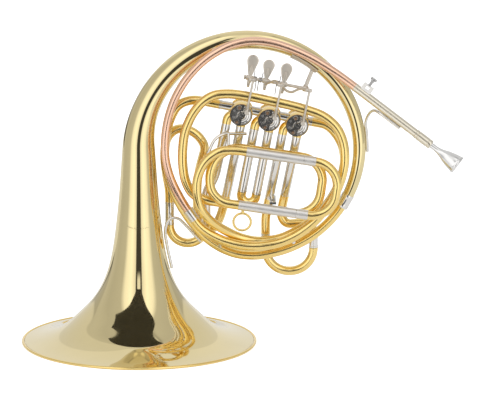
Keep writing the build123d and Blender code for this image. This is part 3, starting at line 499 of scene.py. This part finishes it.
around = [(56.7, 195), (42.4, 223.4), (35.1, 250.2), (34.4, 277.2), (38.2, 304.2), (46.7, 331.1),
          (61.9, 358.4), (86.5, 385.4), (118, 404), (147, 410.5), (174, 408), (200, 399.8),
          (228, 387)]
lead = [LEAD_LOW] + [(x, LEAD_Y, z) for x, z in around] + [lead_point(0), lead_point(LEAD_SEAM)]
piece("leadpipe_tube", [tube(rounded(lead), LEAD_R)], ROSE, "leadpipe")
piece("leadpipe_outer", [sleeve(lead_point(LEAD_SEAM), lead_point(SLEEVE_END), LEAD_R, 4.2,
                                (True, False))], PALE, "leadpipe_sleeve")

coil = [COIL_LOW] + [(x, LEAD_Y, z) for x, z in (
    (79.6, 160.9), (92, 151), (108, 142.5), (132, 135.2), (157, 133.6), (186, 138), (212, 151),
    (235, 170.5), (254, 196), (266, 223), (271.2, 249), (269.5, 273), (261, 294), (243, 310),
    (210, 321.5), (146, 335.6), (120, 339.5), (99, 338), (83, 328), (70, 311), (60.5, 288),
    (57.8, 265), (57.8, 243.6), (61, 222))]
coil += [(71, -19.8, 203), oval_point(-84, LINK_DROP, OVAL_BACK),
         oval_point(BACK_START, LINK_DROP, OVAL_BACK)]
piece("coil_tube", [tube(rounded(coil), COIL_TUBE_R)], GOLD, "first_coil")

rear = [oval_point(BACK_START, LINK_DROP, OVAL_BACK), oval_point(BACK_FAR, LINK_DROP, OVAL_BACK),
        oval_point(BACK_FAR, BACK_RISE, OVAL_BACK), oval_point(SLEEVE_LEFT, BACK_RISE, OVAL_BACK)]
piece("rear_bow", [tube(rounded(rear, radius=BACK_BEND), TUBE_R)], GOLD, "rear_tuning_bow")
link = [oval_point(SLEEVE_LEFT, MAIN_SPAN, OVAL_FRONT), oval_point(-66, MAIN_SPAN, OVAL_FRONT),
        (94.5, -30.5, 211), (93, -26, 234), (101, -21.6, 254),
        oval_point(-62, BACK_RISE, OVAL_BACK), oval_point(SLEEVE_LEFT, BACK_RISE, OVAL_BACK)]
piece("link_tube", [tube(rounded(link), TUBE_R)], GOLD, "link_bow")
feed = [oval_point(SLEEVE_LEFT, 0, OVAL_FRONT), oval_point(-60, 0, OVAL_FRONT),
        (106, OVAL_FRONT, 266), (87, OVAL_FRONT, 252.5), (76.6, OVAL_FRONT, 229.5),
        (76.2, OVAL_FRONT, 206.6), (81.9, -33, 185.7), (96.3, -26, 167.5), (113.4, -15, 154.5),
        (133.2, -7, 142.5), (157, -5.5, 137), (185.8, -5, 140.6), (212, -5, 153),
        (235, -5, 171.5), (254, -4.5, 196), (266, -4, 220), (271.2, -4, 247), (267.8, -4, 267),
        (259, -4, 283), valve_point(76, PORT_U, PORT_Y),
        valve_point(INLET_SLEEVE, PORT_U, PORT_Y)]
piece("feed_tube", [tube(rounded(feed), TUBE_R)], GOLD, "valve_feed_branch")

# ferrules: the bell tail's, a beaded collar round an arc, and the leadpipe's
arc = np.array([coil_point(a) for a in np.linspace(TAIL_END + 0.4, FERRULE_ANGLE - 0.4, 13)])
collar = [8.15, 8.5, 8.5, 8.15, 8.05, 8.05, 8.05, 8.05, 8.05, 8.15, 8.5, 8.5, 8.15]
piece("ferrules", [tube(arc, np.array(collar), 1.8),
                   sleeve(LEAD_LOW, COIL_LOW, 6.9, LEAD_R - WALL)], NICKEL, "branch_ferrules")

# ---------------------------------------------------------------- main tuning slide
def main_pair(left, right, outer, bore, beads):
    return [sleeve(oval_point(left, drop, OVAL_FRONT), oval_point(right, drop, OVAL_FRONT),
                   outer, bore, beads) for drop in (0.0, MAIN_SPAN)]


piece("slide_sleeves", main_pair(SLEEVE_LEFT, SLEEVE_RIGHT, SLEEVE_R, LEG_R + LEG_CLEARANCE,
                                 (False, False)), BRUSHED, "main_slide_sleeves")
piece("slide_legs", main_pair(-14, FERRULE_END, LEG_R, LEG_R - 0.5, (False, False)), NICKEL,
      "main_slide_legs")
piece("slide_ferrules", main_pair(SLEEVE_RIGHT + SLIDE_GAP, FERRULE_END, SLEEVE_R, LEG_R,
                                  (False, False)), BRUSHED, "main_slide_ferrules")
bow = [oval_point(FERRULE_END, 0, OVAL_FRONT), oval_point(BOW_FAR, 0, OVAL_FRONT),
       oval_point(BOW_FAR, MAIN_SPAN, OVAL_FRONT), oval_point(FERRULE_END, MAIN_SPAN, OVAL_FRONT)]
piece("slide_bow", [tube(rounded(bow, radius=BOW_BEND), TUBE_R)], GOLD, "main_slide_bow")

# ---------------------------------------------------------------- valves
def valve_axis(valve, front, back):
    middle = valve * VALVE_PITCH
    return valve_point(middle, 0, front), valve_point(middle, 0, back)


knuckles, ports = [], []
for valve in VALVES:
    middle = valve * VALVE_PITCH
    elbow = rounded([valve_point(middle + LEFT_LEG, KNUCKLE_END, PORT_Y),
                     valve_point(middle + LEFT_LEG, ELBOW_U, PORT_Y),
                     valve_point(middle - 6, ELBOW_U, PORT_Y)], radius=9)
    keep = [q for q in elbow if np.hypot(q[0] - valve_point(middle, 0, 0)[0],
                                         q[2] - valve_point(middle, 0, 0)[2]) > 11.5]
    knuckles.append(tube(np.array(keep), VALVE_TUBE_R, around=40))
    stub = np.array([valve_point(middle + RIGHT_LEG, u, PORT_Y)
                     for u in (KNUCKLE_END, -16, -14, -12.2)])
    knuckles.append(tube(stub, VALVE_TUBE_R, around=40))
piece("knuckles", knuckles, GOLD, "valve_knuckles")
for start, end in ((OUTLET_SLEEVE, -VALVE_PITCH - PORT_REACH),
                   (-VALVE_PITCH + PORT_REACH, -PORT_REACH),
                   (PORT_REACH, VALVE_PITCH - PORT_REACH),
                   (VALVE_PITCH + PORT_REACH, INLET_SLEEVE)):
    ports.append(sleeve(valve_point(start, PORT_U, PORT_Y), valve_point(end, PORT_U, PORT_Y),
                        VALVE_TUBE_R, VALVE_TUBE_R - WALL,
                        (start == OUTLET_SLEEVE, end == INLET_SLEEVE)))
piece("ports", ports, NICKEL, "port_sleeves")

for number, valve in enumerate(VALVES, 1):
    depth = VALVE_BACK - VALVE_FRONT
    profile = [(0, VALVE_BORE), (0, 14.4), (0.4, 14.9), (1.0, 15.05), (2.6, 15.05), (3.0, 14.7),
               (3.4, 15.0), (depth - 3.4, 15.0), (depth - 3.0, 14.7), (depth - 2.6, 15.05),
               (depth - 0.4, 15.05), (depth, 14.7), (depth, VALVE_BORE)]
    piece(f"casing_{number}", [turned(profile, *valve_axis(valve, VALVE_FRONT, VALVE_BACK), 64)],
          GOLD, f"rotor_casing_{number}")
fronts, caps, bumpers, studs = [], [], [], []
for valve in VALVES:
    a, b = valve_axis(valve, -22.6, -16.5)
    fronts.append(turned([(0, 3.55), (0, 5.0), (0.5, 5.6), (2.6, 5.6), (3.1, 6.4), (3.1, 9.0),
                          (3.3, 9.3), (3.3, 11.4), (3.0, 11.8), (3.0, 13.1), (3.3, 13.5),
                          (6.1, 13.5), (6.1, 3.55)], a, b, 56))
    a, b = valve_axis(valve, 8.5, 11.9)
    fronts.append(turned([(0, 3.05), (0, 13.5), (3.4, 13.5), (3.4, 3.05)], a, b, 48))
    a, b = valve_axis(valve, VALVE_BACK, VALVE_BACK + 3.6)
    caps.append(turned([(0, 0), (0, 15.0), (0.3, 15.45), (2.3, 15.45), (2.6, 15.0), (2.8, 12.8),
                        (3.4, 12.2), (3.6, 11.6), (3.6, 9.0), (3.1, 8.5), (3.1, 0)], a, b,
                       knurl=(15.2, 0.3, 48)))
    for degrees in SCREWS:
        studs.append(turned([(0, 0), (0, 0.9), (0.3, 1.2), (1.6, 1.2), (1.9, 0.9), (1.9, 0)],
                            polar(valve, degrees, 11.9, -21.1), polar(valve, degrees, 11.9, -19.0),
                            18))
    for radius, wire in ((7.6, 0.45), (13.2, 0.5)):
        studs.append(torus(polar(valve, 0, 0, -19.6 if radius < 10 else -19.5), radius, wire,
                           (0, 1, 0), 56, 10))
    for degrees in BUMPERS:
        studs.append(turned([(0, 2.2), (0, 2.9), (0.3, 3.2), (2.3, 3.2), (2.3, 2.2)],
                            polar(valve, degrees, BUMPER_RADIUS, -22.6),
                            polar(valve, degrees, BUMPER_RADIUS, -20.0), 24))
        bumpers.append(disc(polar(valve, degrees, BUMPER_RADIUS, -25.6),
                            polar(valve, degrees, BUMPER_RADIUS, BUMPER_BACK),
                            1.9, 0.7, 20))
piece("bearings", fronts, NICKEL, "valve_bearings")
piece("caps", caps, GOLD, "valve_caps")
piece("bumpers", bumpers, CORK, "stop_bumpers")
# screws, rings and stop seats on the front bearings: added details without a CAD node
piece("valve_studs", studs, STEEL, body="horn")

# ---------------------------------------------------------------- valve slides
def leg_points(across):
    return [valve_point(across, KNUCKLE_END, PORT_Y), valve_point(across, TILT_U, PORT_Y)]


first_left = leg_points(-VALVE_PITCH + LEFT_LEG) + [
    valve_point(-VALVE_PITCH + LEFT_LEG, -96, 16), (88.4, 16, 200), (88.4, 16, 186)]
first_right = leg_points(-VALVE_PITCH + RIGHT_LEG) + [
    valve_point(-VALVE_PITCH + RIGHT_LEG, -122, 22), (108, 27, 165), (101, 30, 149),
    (89, 30.5, 142.5), (78.5, 30.5, 151), (76.6, 30, 172), (76.6, 28.5, 204), (79, 24, 226),
    (83.5, 18.5, 244)]
first_loop = [(83.5, 18.5, 244), (88, 13, 262), (77, 12, 278), (62, 12, 286), (48, 12.5, 285),
              (36.5, 13, 273), (33.3, 14, 250), (36, 15.5, 224), (40.4, 16, 202), (40.4, 16, 186)]
third_left = leg_points(VALVE_PITCH + LEFT_LEG) + [
    valve_point(VALVE_PITCH + LEFT_LEG, -122, 13), (167, 14, 165), (167, 14, 144)]
third_right = leg_points(VALVE_PITCH + RIGHT_LEG) + [
    valve_point(VALVE_PITCH + RIGHT_LEG, -110, 12), (186.3, 13.7, 169), (193.5, 14, 156.5),
    (230, 14, 159), (230, 14, 144)]


def split_tubes(lines):
    """Tubes cut where each line first comes down to the gold: the runs above, the runs below."""
    above, below = [], []
    for line in lines:
        k = int(np.argmax(line[:, 2] < GOLD_BELOW))
        above.append(tube(line[:k + 1], VALVE_TUBE_R))
        below.append(tube(line[k:], VALVE_TUBE_R))
    return above, below


# the gold runs are details that ride on the horn; the nickel runs stand for the CAD legs
high, low = split_tubes([rounded(first_left), rounded(first_right)])
piece("valve_1_tubes", high, NICKEL, "valve_1_legs")
piece("valve_1_low_tubes", low, GOLD, body="horn")
piece("valve_1_loop_tube", [tube(rounded(first_loop), VALVE_TUBE_R)], GOLD, "valve_1_loop")
high, low = split_tubes([rounded(third_left), rounded(third_right)])
piece("valve_3_tubes", high, NICKEL, "valve_3_legs")
piece("valve_3_low_tubes", low, GOLD, body="horn")


def upright(x_pair, y, top, bottom, outer, bore, beads):
    return [sleeve((x, y, bottom), (x, y, top), outer, bore, beads) for x in x_pair]


def upright_bow(x_pair, y, top, bottom, radius):
    left, right = x_pair
    return tube(rounded([(left, y, top), (left, y, bottom), (right, y, bottom), (right, y, top)],
                        radius=radius), VALVE_TUBE_R)


def second_pair(top, bottom, outer, bore, beads):
    return [sleeve(valve_point(across, bottom, PORT_Y), valve_point(across, top, PORT_Y), outer,
                   bore, beads) for across in (LEFT_LEG, RIGHT_LEG)]


sleeves = []
for (left, right, y, top, bottom), name, low, bend in ((FIRST, "1", 130.4, 23.9),
                                                        (THIRD, "3", 93.0, 31.0)):
    sleeves += upright((left, right), y, top, bottom, VALVE_TUBE_R, VALVE_LEG_R + LEG_CLEARANCE,
                       (True, True))
    piece(f"valve_{name}_bow", [upright_bow((left, right), y, bottom - SLIDE_GAP, low, bend)],
          GOLD, f"valve_{name}_slide_bow")
    piece(f"valve_{name}_inner", upright((left, right), y, top - 1, bottom - SLIDE_GAP,
                                         VALVE_LEG_R, VALVE_LEG_BORE, (False, False)),
          NICKEL, f"valve_{name}_slide_legs")
sleeves += second_pair(KNUCKLE_END, SECOND_BOTTOM, VALVE_TUBE_R, VALVE_LEG_R + LEG_CLEARANCE,
                       (True, True))
piece("slide_outers", sleeves, NICKEL, "valve_slide_sleeves")
top = SECOND_BOTTOM - SLIDE_GAP
piece("valve_2_bow", [tube(rounded([
    valve_point(LEFT_LEG, top, PORT_Y), valve_point(LEFT_LEG, SECOND_BEND, PORT_Y),
    valve_point(RIGHT_LEG, SECOND_BEND, PORT_Y), valve_point(RIGHT_LEG, top, PORT_Y)],
    radius=9.5), VALVE_TUBE_R)], GOLD, "valve_2_slide_bow")
piece("valve_2_inner", second_pair(SECOND_BOTTOM + 40, top, VALVE_LEG_R, VALVE_LEG_BORE,
                                   (False, False)), NICKEL, "valve_2_slide_legs")

# ---------------------------------------------------------------- levers, rods and springs
def outline(low, low_r, high, high_r):
    """A bar with round ends of two sizes, as (across, up) points."""
    lean = math.asin((high_r - low_r) / (high - low))
    points, steps = [], 24
    for k in range(steps + 1):
        a = -lean + (math.pi + 2 * lean) * k / steps
        points.append((high_r * math.cos(a), high + high_r * math.sin(a)))
    for k in range(steps + 1):
        a = math.pi + lean + (math.pi - 2 * lean) * k / steps
        points.append((low_r * math.cos(a), low + low_r * math.sin(a)))
    return np.array(points)


def plate(across, low, low_r, high, high_r, y, thick, soft=0.5, dish=0.0):
    """A flat bar with rounded edges; dish sinks the middle of its front."""
    half = thick / 2
    rings = []
    shape = outline(low, low_r, high, high_r)
    spine = np.clip(shape[:, 1], low, high)
    middle = np.column_stack([np.zeros(len(shape)), spine])
    fine = [(0.75, half), (0.30, half), (0.10, half - soft * 0.25), (0.0, half - soft),
            (0.0, -half + soft), (0.10, -half + soft * 0.25), (0.30, -half), (0.75, -half)]
    for share, depth in fine:
        loop = shape + (middle - shape) * share
        sink = dish * share if depth < 0 else 0.0
        rings.append([valve_point(across + a, AXLE_U + u, y + depth + sink) for a, u in loop])
    return rings_to_shape(rings, False)


def cross(start, end, up, y, radius, soft=0.35):
    """A round bar along the axle's direction."""
    return disc(valve_point(start, up, y), valve_point(end, up, y), radius, soft, 24)


for number, valve in enumerate(VALVES, 1):
    across = LEVERS[number - 1]
    end = valve * VALVE_PITCH + STOP_ARM * math.cos(STOP_REST)
    hub = turned([(0, AXLE_R + 0.05), (0, 3.0), (0.4, 3.4), (1.6, 3.4), (1.9, 3.1), (7.1, 3.1),
                  (7.4, 3.4), (8.6, 3.4), (9.0, 3.0), (9.0, AXLE_R + 0.05)],
                 valve_point(across - 4.5, AXLE_U, AXLE_Y),
                 valve_point(across + 4.5, AXLE_U, AXLE_Y), 32)
    bends = [valve_point(across, 43.5, AXLE_Y - 0.9)]
    bends += [valve_point(*bend) for bend in CRANK_BENDS[number - 1]]
    bends += [valve_point(end - 3.9, ROD_TOP, ROD_Y)]
    shapes = [plate(across, PADDLE_FOOT, PADDLE_FOOT_R, PADDLE_HEADS[number - 1], PADDLE_R,
                    AXLE_Y, 1.8, 0.7, 0.5),
              plate(across, 2.6, 2.6, 15.5, 1.5, AXLE_Y - 0.9, 3.0),
              plate(across, -10.5, 1.9, -2.6, 2.8, AXLE_Y - 0.9, 3.0),
              rod(rounded(bends, step=8), 1.7, 18),
              cross(end - 5.2, end - 2.0, ROD_TOP, ROD_Y, 2.6),
              cross(end - 2.2, end + 3.0, ROD_TOP, ROD_Y, 1.2, 0.2),
              cross(end + 2.1, end + 3.2, ROD_TOP, ROD_Y, 2.3, 0.3), hub]
    piece(f"lever_{number}_body", shapes, SATIN, f"lever_{number}")
    rod_y = ROD_Y - 0.4
    top_end = valve_point(end, ROD_TOP - 1.7, rod_y)
    low_end = valve_point(end, ROD_BOTTOM + 1.0, rod_y)
    eye = turned([(0, 1.25), (0, 2.4), (0.3, 2.7), (3.5, 2.7), (3.8, 2.4), (3.8, 1.25)],
                 valve_point(end - 1.9, ROD_TOP, ROD_Y), valve_point(end + 1.9, ROD_TOP, ROD_Y), 28)
    nut = turned([(0, 1.2), (0, 2.0), (0.5, 2.4), (5.5, 2.4), (6.0, 2.0), (6.0, 1.2)],
                 valve_point(end, ROD_BOTTOM + 6, rod_y),
                 valve_point(end, ROD_BOTTOM + 12, rod_y), 6)
    barrel = disc(valve_point(end, ROD_BOTTOM, ROD_Y - 2.0),
                  valve_point(end, ROD_BOTTOM, ROD_Y + 1.15), 3.0, 0.5, 28)
    piece(f"rod_{number}", [disc(low_end, top_end, 1.5, 0.3, 20), eye, nut, barrel], SATIN,
          f"link_rod_{number}", sharp=30)

springs = []
for across, side in zip(LEVERS, SPRING_SIDES):
    start = across + side * 5.5
    turns, pitch = 3.0, 1.25
    line = [valve_point(start, AXLE_U + 10, AXLE_Y + SPRING_R)]
    for k in range(int(turns * 18) + 1):
        a = 2 * math.pi * k / 18
        line.append(valve_point(start + side * pitch * k / 18, AXLE_U + SPRING_R * math.sin(-a),
                                AXLE_Y + SPRING_R * math.cos(a)))
    far = start + side * pitch * turns
    line += [valve_point(far, AXLE_U - 3.0, AXLE_Y + 1.5), valve_point(far, 34.2, -15.0)]
    springs.append(rod(np.array(line, float), SPRING_WIRE, 10))
piece("springs", springs, STEEL, "lever_springs")

axle = [cross(AXLE_LEFT, AXLE_RIGHT, AXLE_U, AXLE_Y, AXLE_R, 0.2)]
for a, b in ((AXLE_LEFT - AXLE_CAP, AXLE_LEFT), (AXLE_RIGHT, AXLE_RIGHT + AXLE_CAP)):
    axle.append(turned([(0, 0), (0, 2.6), (0.5, 3.2), (AXLE_CAP - 0.5, 3.2), (AXLE_CAP, 2.6),
                        (AXLE_CAP, 0)],
                       valve_point(a, AXLE_U, AXLE_Y), valve_point(b, AXLE_U, AXLE_Y), 28))
piece("axle", axle, SATIN, "lever_axle")

# ---------------------------------------------------------------- mouthpiece and receiver
cup = spline(((3.7, 26), (4.3, 33), (5.9, 38.5), (8.0, 44), (10.0, 51), (11.4, 57),
              (12.0, 60.5)), 40)
funnel = spline(((8.7, 63), (7.6, 57), (5.2, 49), (3.0, 42), (2.2, 37)), 30)
rim = [(12.0 + 0.6 * math.sin(a), 60.5 + 3.3 * a / 2.4) for a in np.linspace(0.2, 1.9, 5)]
rim += [(12.1, 64.1), (11.4, 64.8), (10.6, 65.0), (9.7, 64.85), (9.1, 64.4), (8.8, 63.7)]
outer = [(3.3, 0), (3.65, SHANK_DEPTH), (3.7, 26)]
profile = [(z, r) for r, z in [(2.7, 0)] + outer[:-1] + [tuple(q) for q in cup] + rim
           + [tuple(q) for q in funnel] + [(2.2, 20)]]
mouth_start = lead_point(RECEIVER_END - SHANK_DEPTH)
piece("mouthpiece_body", [turned(profile, mouth_start, lead_point(RECEIVER_END + 60), 72)],
      SILVER, "mouthpiece", sharp=45)
length = RECEIVER_END - SLEEVE_END
piece("receiver", [turned([(0, 3.3), (0, 5.7), (0.5, 6.1), (3.0, 6.1), (3.5, 5.6), (4.2, 5.6),
                           (4.7, 6.1), (length - 6, 6.1), (length - 5.5, 5.7),
                           (length - 4.8, 5.7), (length - 4.3, 6.1), (length - 1.5, 6.1),
                           (length - 0.45, 5.65), (length, 4.6), (length, 3.72), (4.3, 3.35)],
                          lead_point(SLEEVE_END), lead_point(RECEIVER_END), 48)],
      PALE, "mouthpiece_receiver")

# ---------------------------------------------------------------- braces and finger ring
ring_at = np.array((136.0, OVAL_FRONT, 170.4))
piece("ring", [torus(ring_at, 11.4, 1.6, (0, 1, 0)),
               turned([(0, 0), (0, 2.2), (2.5, 1.9), (4.5, 2.2), (6.2, 3.0), (7.0, 3.6),
                       (7.0, 0)], (136.6, OVAL_FRONT, 182), (137.4, OVAL_FRONT, 189), 28)],
      GOLD, "finger_ring")


def post(a, b, radius):
    """A short turned strut that widens into a soldered foot at each end."""
    length = span(a, b)
    foot = radius * 1.5
    return turned([(0, 0), (0, foot), (length * 0.16, foot * 0.96), (length * 0.30, radius),
                   (length * 0.5, radius * 0.86), (length * 0.70, radius),
                   (length * 0.84, foot * 0.96), (length, foot), (length, 0)], a, b, 28)


posts = [post((106.5, -3, 130), (107.5, -16, 141), 2.2),
         post((157, -15, 134.2), (157, -9, 136.2), 2.6),
         post((271.2, -15, 248), (271.2, -8, 248), 2.6),
         post((205, -6.5, 146), (204, -2, 135), 2.2)]
posts += [post((x, LEAD_Y + 3.5, z), (x, -7, z - 0.5), 2.6)
          for x, z in ((178, 407.3), (247, 376.5), (100, 396))]
piece("struts", posts, NICKEL, "tube_bridges")

away = unit(np.cross((0, -1, 0), LEAD_WAY))
beside = COIL_R + tail_radius(6) + 2.05
under = [tuple(np.array(lead_point(t)) - away * (LEAD_R + 2.0)) for t in (76, 108)]
lead_brace = [coil_point(-2, 0, beside), coil_point(6, 0, beside), coil_point(13, -1, beside + 0.6),
              (303, -11, 312), (309, -25, 319)] + under
piece("lead_stay", [rod(rounded(lead_brace), BRACE_R, 20)], NICKEL, "leadpipe_brace")
bell_stay = [(43.6, 0, 100), (38.0, 0, 125), (34.0, 0, 149), (37.5, 0, 165), (50, 0, 169.5),
             (59.5, 0, 160.5), (81.6, 0, 135.8)]
piece("bell_stay", [rod(rounded(bell_stay), BRACE_R, 20)], NICKEL, "bell_brace")
rail = [(142, -12.1, 284), (110, -12.1, 284), (99, -18, 277), (91, -31, 261)]
piece("valve_stay", [rod(rounded(rail), BRACE_R, 20),
                     rod(rounded([(118, -12.1, 284), (118.3, -16, 277), (118.5, -19.5, 270)]),
                         BRACE_R, 20)], NICKEL, "valve_brace")

# ---------------------------------------------------------------- the CAD nodes that stay
slots = {part["node"]: part["material_slot"] for part in frame["record"]["subparts"]}
for name, node in frame["nodes"].items():
    if not node.hide_render:
        node.data.materials.clear()
        node.data.materials.append(SLOT_FINISH[slots[name]])
frame["nodes"]["lever_post"].data.materials[0] = SATIN

# ---------------------------------------------------------------- studio
scene = bpy.context.scene
world = bpy.data.worlds.new("studio")
scene.world = world
world.use_nodes = True
nodes, links = world.node_tree.nodes, world.node_tree.links
nodes.clear()


def math_node(kind, a, b=None):
    node = nodes.new("ShaderNodeMath")
    node.operation = kind
    for index, value in enumerate((a, b)):
        if value is None:
            continue
        if isinstance(value, (int, float)):
            node.inputs[index].default_value = value
        else:
            links.new(value, node.inputs[index])
    return node.outputs[0]


def edge(value, low, high):
    """0 below low, 1 above high, eased between."""
    node = nodes.new("ShaderNodeMapRange")
    node.interpolation_type = "SMOOTHSTEP"
    node.inputs["From Min"].default_value = low
    node.inputs["From Max"].default_value = high
    links.new(value, node.inputs["Value"])
    return node.outputs["Result"]


def below(value, low, high):
    """1 below low, 0 above high, eased between."""
    return math_node("SUBTRACT", 1.0, edge(value, low, high))


def window(value, low, high, soft):
    """1 between low and high, 0 outside, eased over soft on each side of both."""
    return math_node("MULTIPLY", edge(value, low - soft, low + soft),
                     below(value, high - soft, high + soft))


def brighter(light, shape, strength):
    return math_node("MAXIMUM", light, math_node("MULTIPLY", shape, strength))


# the room as reflections see it. Round the horn at eye level, as a share of the half turn away
# from the lens: a dark strip in front, a white panel on each side that fades to grey, a dark
# strip towards the back, a pale backdrop
DEGREES = 57.2958
FRONT_DARK, BACK_DARK, BACKDROP = 0.06, 0.07, 0.85
SIDE_GREY, LOW_FRONT, HIGH_FRONT, CEILING, DARKEST = 0.50, 0.40, 0.95, 0.74, 0.05
ROOM_STOPS = ((0.055, FRONT_DARK), (0.070, 1.0), (0.16, 1.35), (0.27, 1.15), (0.34, 0.62),
              (0.55, 0.56), (0.66, 0.62), (0.70, 0.60),
              (0.715, BACK_DARK), (0.87, BACK_DARK), (0.90, BACKDROP))
CEILING_MIDDLE = (0.766, 0.643)  # 40 degrees above the back, as y and z

sky = nodes.new("ShaderNodeTexCoord")
split = nodes.new("ShaderNodeSeparateXYZ")
links.new(sky.outputs["Generated"], split.inputs[0])
x, y, z = split.outputs
bearing = math_node("MULTIPLY", math_node("ARCTAN2", x, math_node("MULTIPLY", y, -1.0)), DEGREES)
height = math_node("MULTIPLY", math_node("ARCSINE", z), DEGREES)
away_front = math_node("ABSOLUTE", bearing)
fall = nodes.new("ShaderNodeValToRGB")
links.new(math_node("DIVIDE", away_front, 180.0), fall.inputs["Fac"])
ramp = fall.color_ramp
ramp.elements[0].position, ramp.elements[1].position = 0.0, 1.0
ramp.elements[0].color = (FRONT_DARK, FRONT_DARK, FRONT_DARK, 1)
ramp.elements[1].color = (BACKDROP, BACKDROP, BACKDROP, 1)
for place, shade in ROOM_STOPS:
    stop = ramp.elements.new(place)
    stop.color = (shade, shade, shade, 1)
sides = nodes.new("ShaderNodeSeparateColor")
links.new(fall.outputs["Color"], sides.inputs[0])
room = sides.outputs[0]
# above eye level the dark strips at the back close up and only the sides' grey carries on
upper = math_node("MULTIPLY", edge(height, -6, 4), window(away_front, 100, 200, 12))
room = brighter(room, upper, SIDE_GREY)
# the strip in front stays dark round eye level: it is grey low down, pale high up, and a
# narrow light runs up its middle
low_front = math_node("MULTIPLY", window(away_front, -20, 16, 3), below(height, -36, -24))
room = brighter(room, low_front, LOW_FRONT)
glow = math_node("MULTIPLY", window(away_front, -20, 5.5, 1.5), window(height, 19, 90, 5))
room = brighter(room, glow, 1.0)
high_front = math_node("MULTIPLY", window(away_front, -20, 24, 8), edge(height, 40, 48))
room = brighter(room, high_front, HIGH_FRONT)
# the walls end near the zenith; a round ceiling lies over the back and another at the zenith
room = math_node("MULTIPLY", room, below(height, 70, 78))
lean = math_node("ADD", math_node("MULTIPLY", y, CEILING_MIDDLE[0]),
                 math_node("MULTIPLY", z, CEILING_MIDDLE[1]))
overhead = math_node("MAXIMUM", edge(lean, 0.70, 0.76), edge(z, 0.945, 0.97))
level = math_node("MAXIMUM", brighter(room, overhead, CEILING), DARKEST)
# the camera itself sees plain white
seen = nodes.new("ShaderNodeLightPath")
mix = nodes.new("ShaderNodeMix")
mix.data_type = "FLOAT"
links.new(seen.outputs["Is Camera Ray"], mix.inputs[0])
links.new(level, mix.inputs[2])
mix.inputs[3].default_value = 1.0
back = nodes.new("ShaderNodeBackground")
back.inputs["Color"].default_value = (1, 1, 1, 1)
links.new(mix.outputs[0], back.inputs["Strength"])
out = nodes.new("ShaderNodeOutputWorld")
links.new(back.outputs[0], out.inputs["Surface"])

# a white floor: brighter to the camera than to the reflections in the horn
FLOOR_REFLECTED, FLOOR_SEEN = 0.12, 0.72
floor_mesh = bpy.data.meshes.new("floor")
left, right, near, far = -1.3, 1.7, -0.6, 6.0
floor_mesh.from_pydata([(left, near, 0), (right, near, 0), (right, far, 0), (left, far, 0)], [],
                       [(0, 1, 2, 3)])
floor = bpy.data.objects.new("floor", floor_mesh)
floor.location.z = -0.0002
scene.collection.objects.link(floor)
paper = bpy.data.materials.new("paper")
paper.use_nodes = True
nodes, links = paper.node_tree.nodes, paper.node_tree.links
shader = nodes["Principled BSDF"]
shader.inputs["Base Color"].default_value = (0.80, 0.80, 0.80, 1)
shader.inputs["Roughness"].default_value = 0.9
shader.inputs["Specular IOR Level"].default_value = 0.1
shader.inputs["Emission Color"].default_value = (1, 1, 1, 1)
lit = nodes.new("ShaderNodeMapRange")
lit.inputs["To Min"].default_value = FLOOR_REFLECTED
lit.inputs["To Max"].default_value = FLOOR_SEEN
links.new(nodes.new("ShaderNodeLightPath").outputs["Is Camera Ray"], lit.inputs["Value"])
links.new(lit.outputs["Result"], shader.inputs["Emission Strength"])
floor.data.materials.append(paper)

# a level black card over the front of the flare, seen only by reflections
FLAG_HEIGHT = 0.16
flag_mesh = bpy.data.meshes.new("flag")
flag_edge = ((-0.018, -0.165), (0.018, -0.165), (0.040, -0.12), (0.075, -0.072), (-0.105, -0.072),
             (-0.050, -0.12))
flag_mesh.from_pydata([(x, y, FLAG_HEIGHT) for x, y in flag_edge], [], [(0, 1, 2, 3, 4, 5)])
flag = bpy.data.objects.new("flag", flag_mesh)
scene.collection.objects.link(flag)
black = bpy.data.materials.new("black_cloth")
black.use_nodes = True
shader = black.node_tree.nodes["Principled BSDF"]
shader.inputs["Base Color"].default_value = (0.05, 0.05, 0.05, 1)
shader.inputs["Roughness"].default_value = 1.0
flag.data.materials.append(black)
flag.visible_camera = flag.visible_shadow = flag.visible_diffuse = False


def area_light(name, place, target, size, power):
    data = bpy.data.lights.new(name, "AREA")
    data.shape = "RECTANGLE"
    data.size, data.size_y = size
    data.energy = power
    light = bpy.data.objects.new(name, data)
    light.location = place
    light.rotation_euler = (Vector(target) - Vector(place)).to_track_quat("-Z", "Y").to_euler()
    light.visible_glossy = False
    scene.collection.objects.link(light)
    return light


area_light("key", (-1.6, -2.4, 2.3), (0.1, 0, 0.2), (1.2, 1.6), 22)
area_light("fill", (1.9, -2.2, 1.6), (0.1, 0, 0.2), (1.2, 1.6), 12)

# ---------------------------------------------------------------- camera
ELEVATION = math.radians(12.9)
DISTANCE, FRAME_WIDTH = 10.0, 0.6317
target = Vector((0.1332, 0.0, 0.1894))
camera_data = bpy.data.cameras.new("camera")
camera_data.sensor_width = 36.0
camera_data.lens = 36.0 * DISTANCE / FRAME_WIDTH
camera_data.clip_end = 100.0
camera = bpy.data.objects.new("camera", camera_data)
camera.location = target + DISTANCE * Vector((0, -math.cos(ELEVATION), math.sin(ELEVATION)))
camera.rotation_euler = (math.pi / 2 - ELEVATION, 0, 0)
scene.collection.objects.link(camera)
scene.camera = camera
scene.view_settings.view_transform = "Standard"
scene.view_settings.look = "None"
scene.view_settings.exposure = 0.0
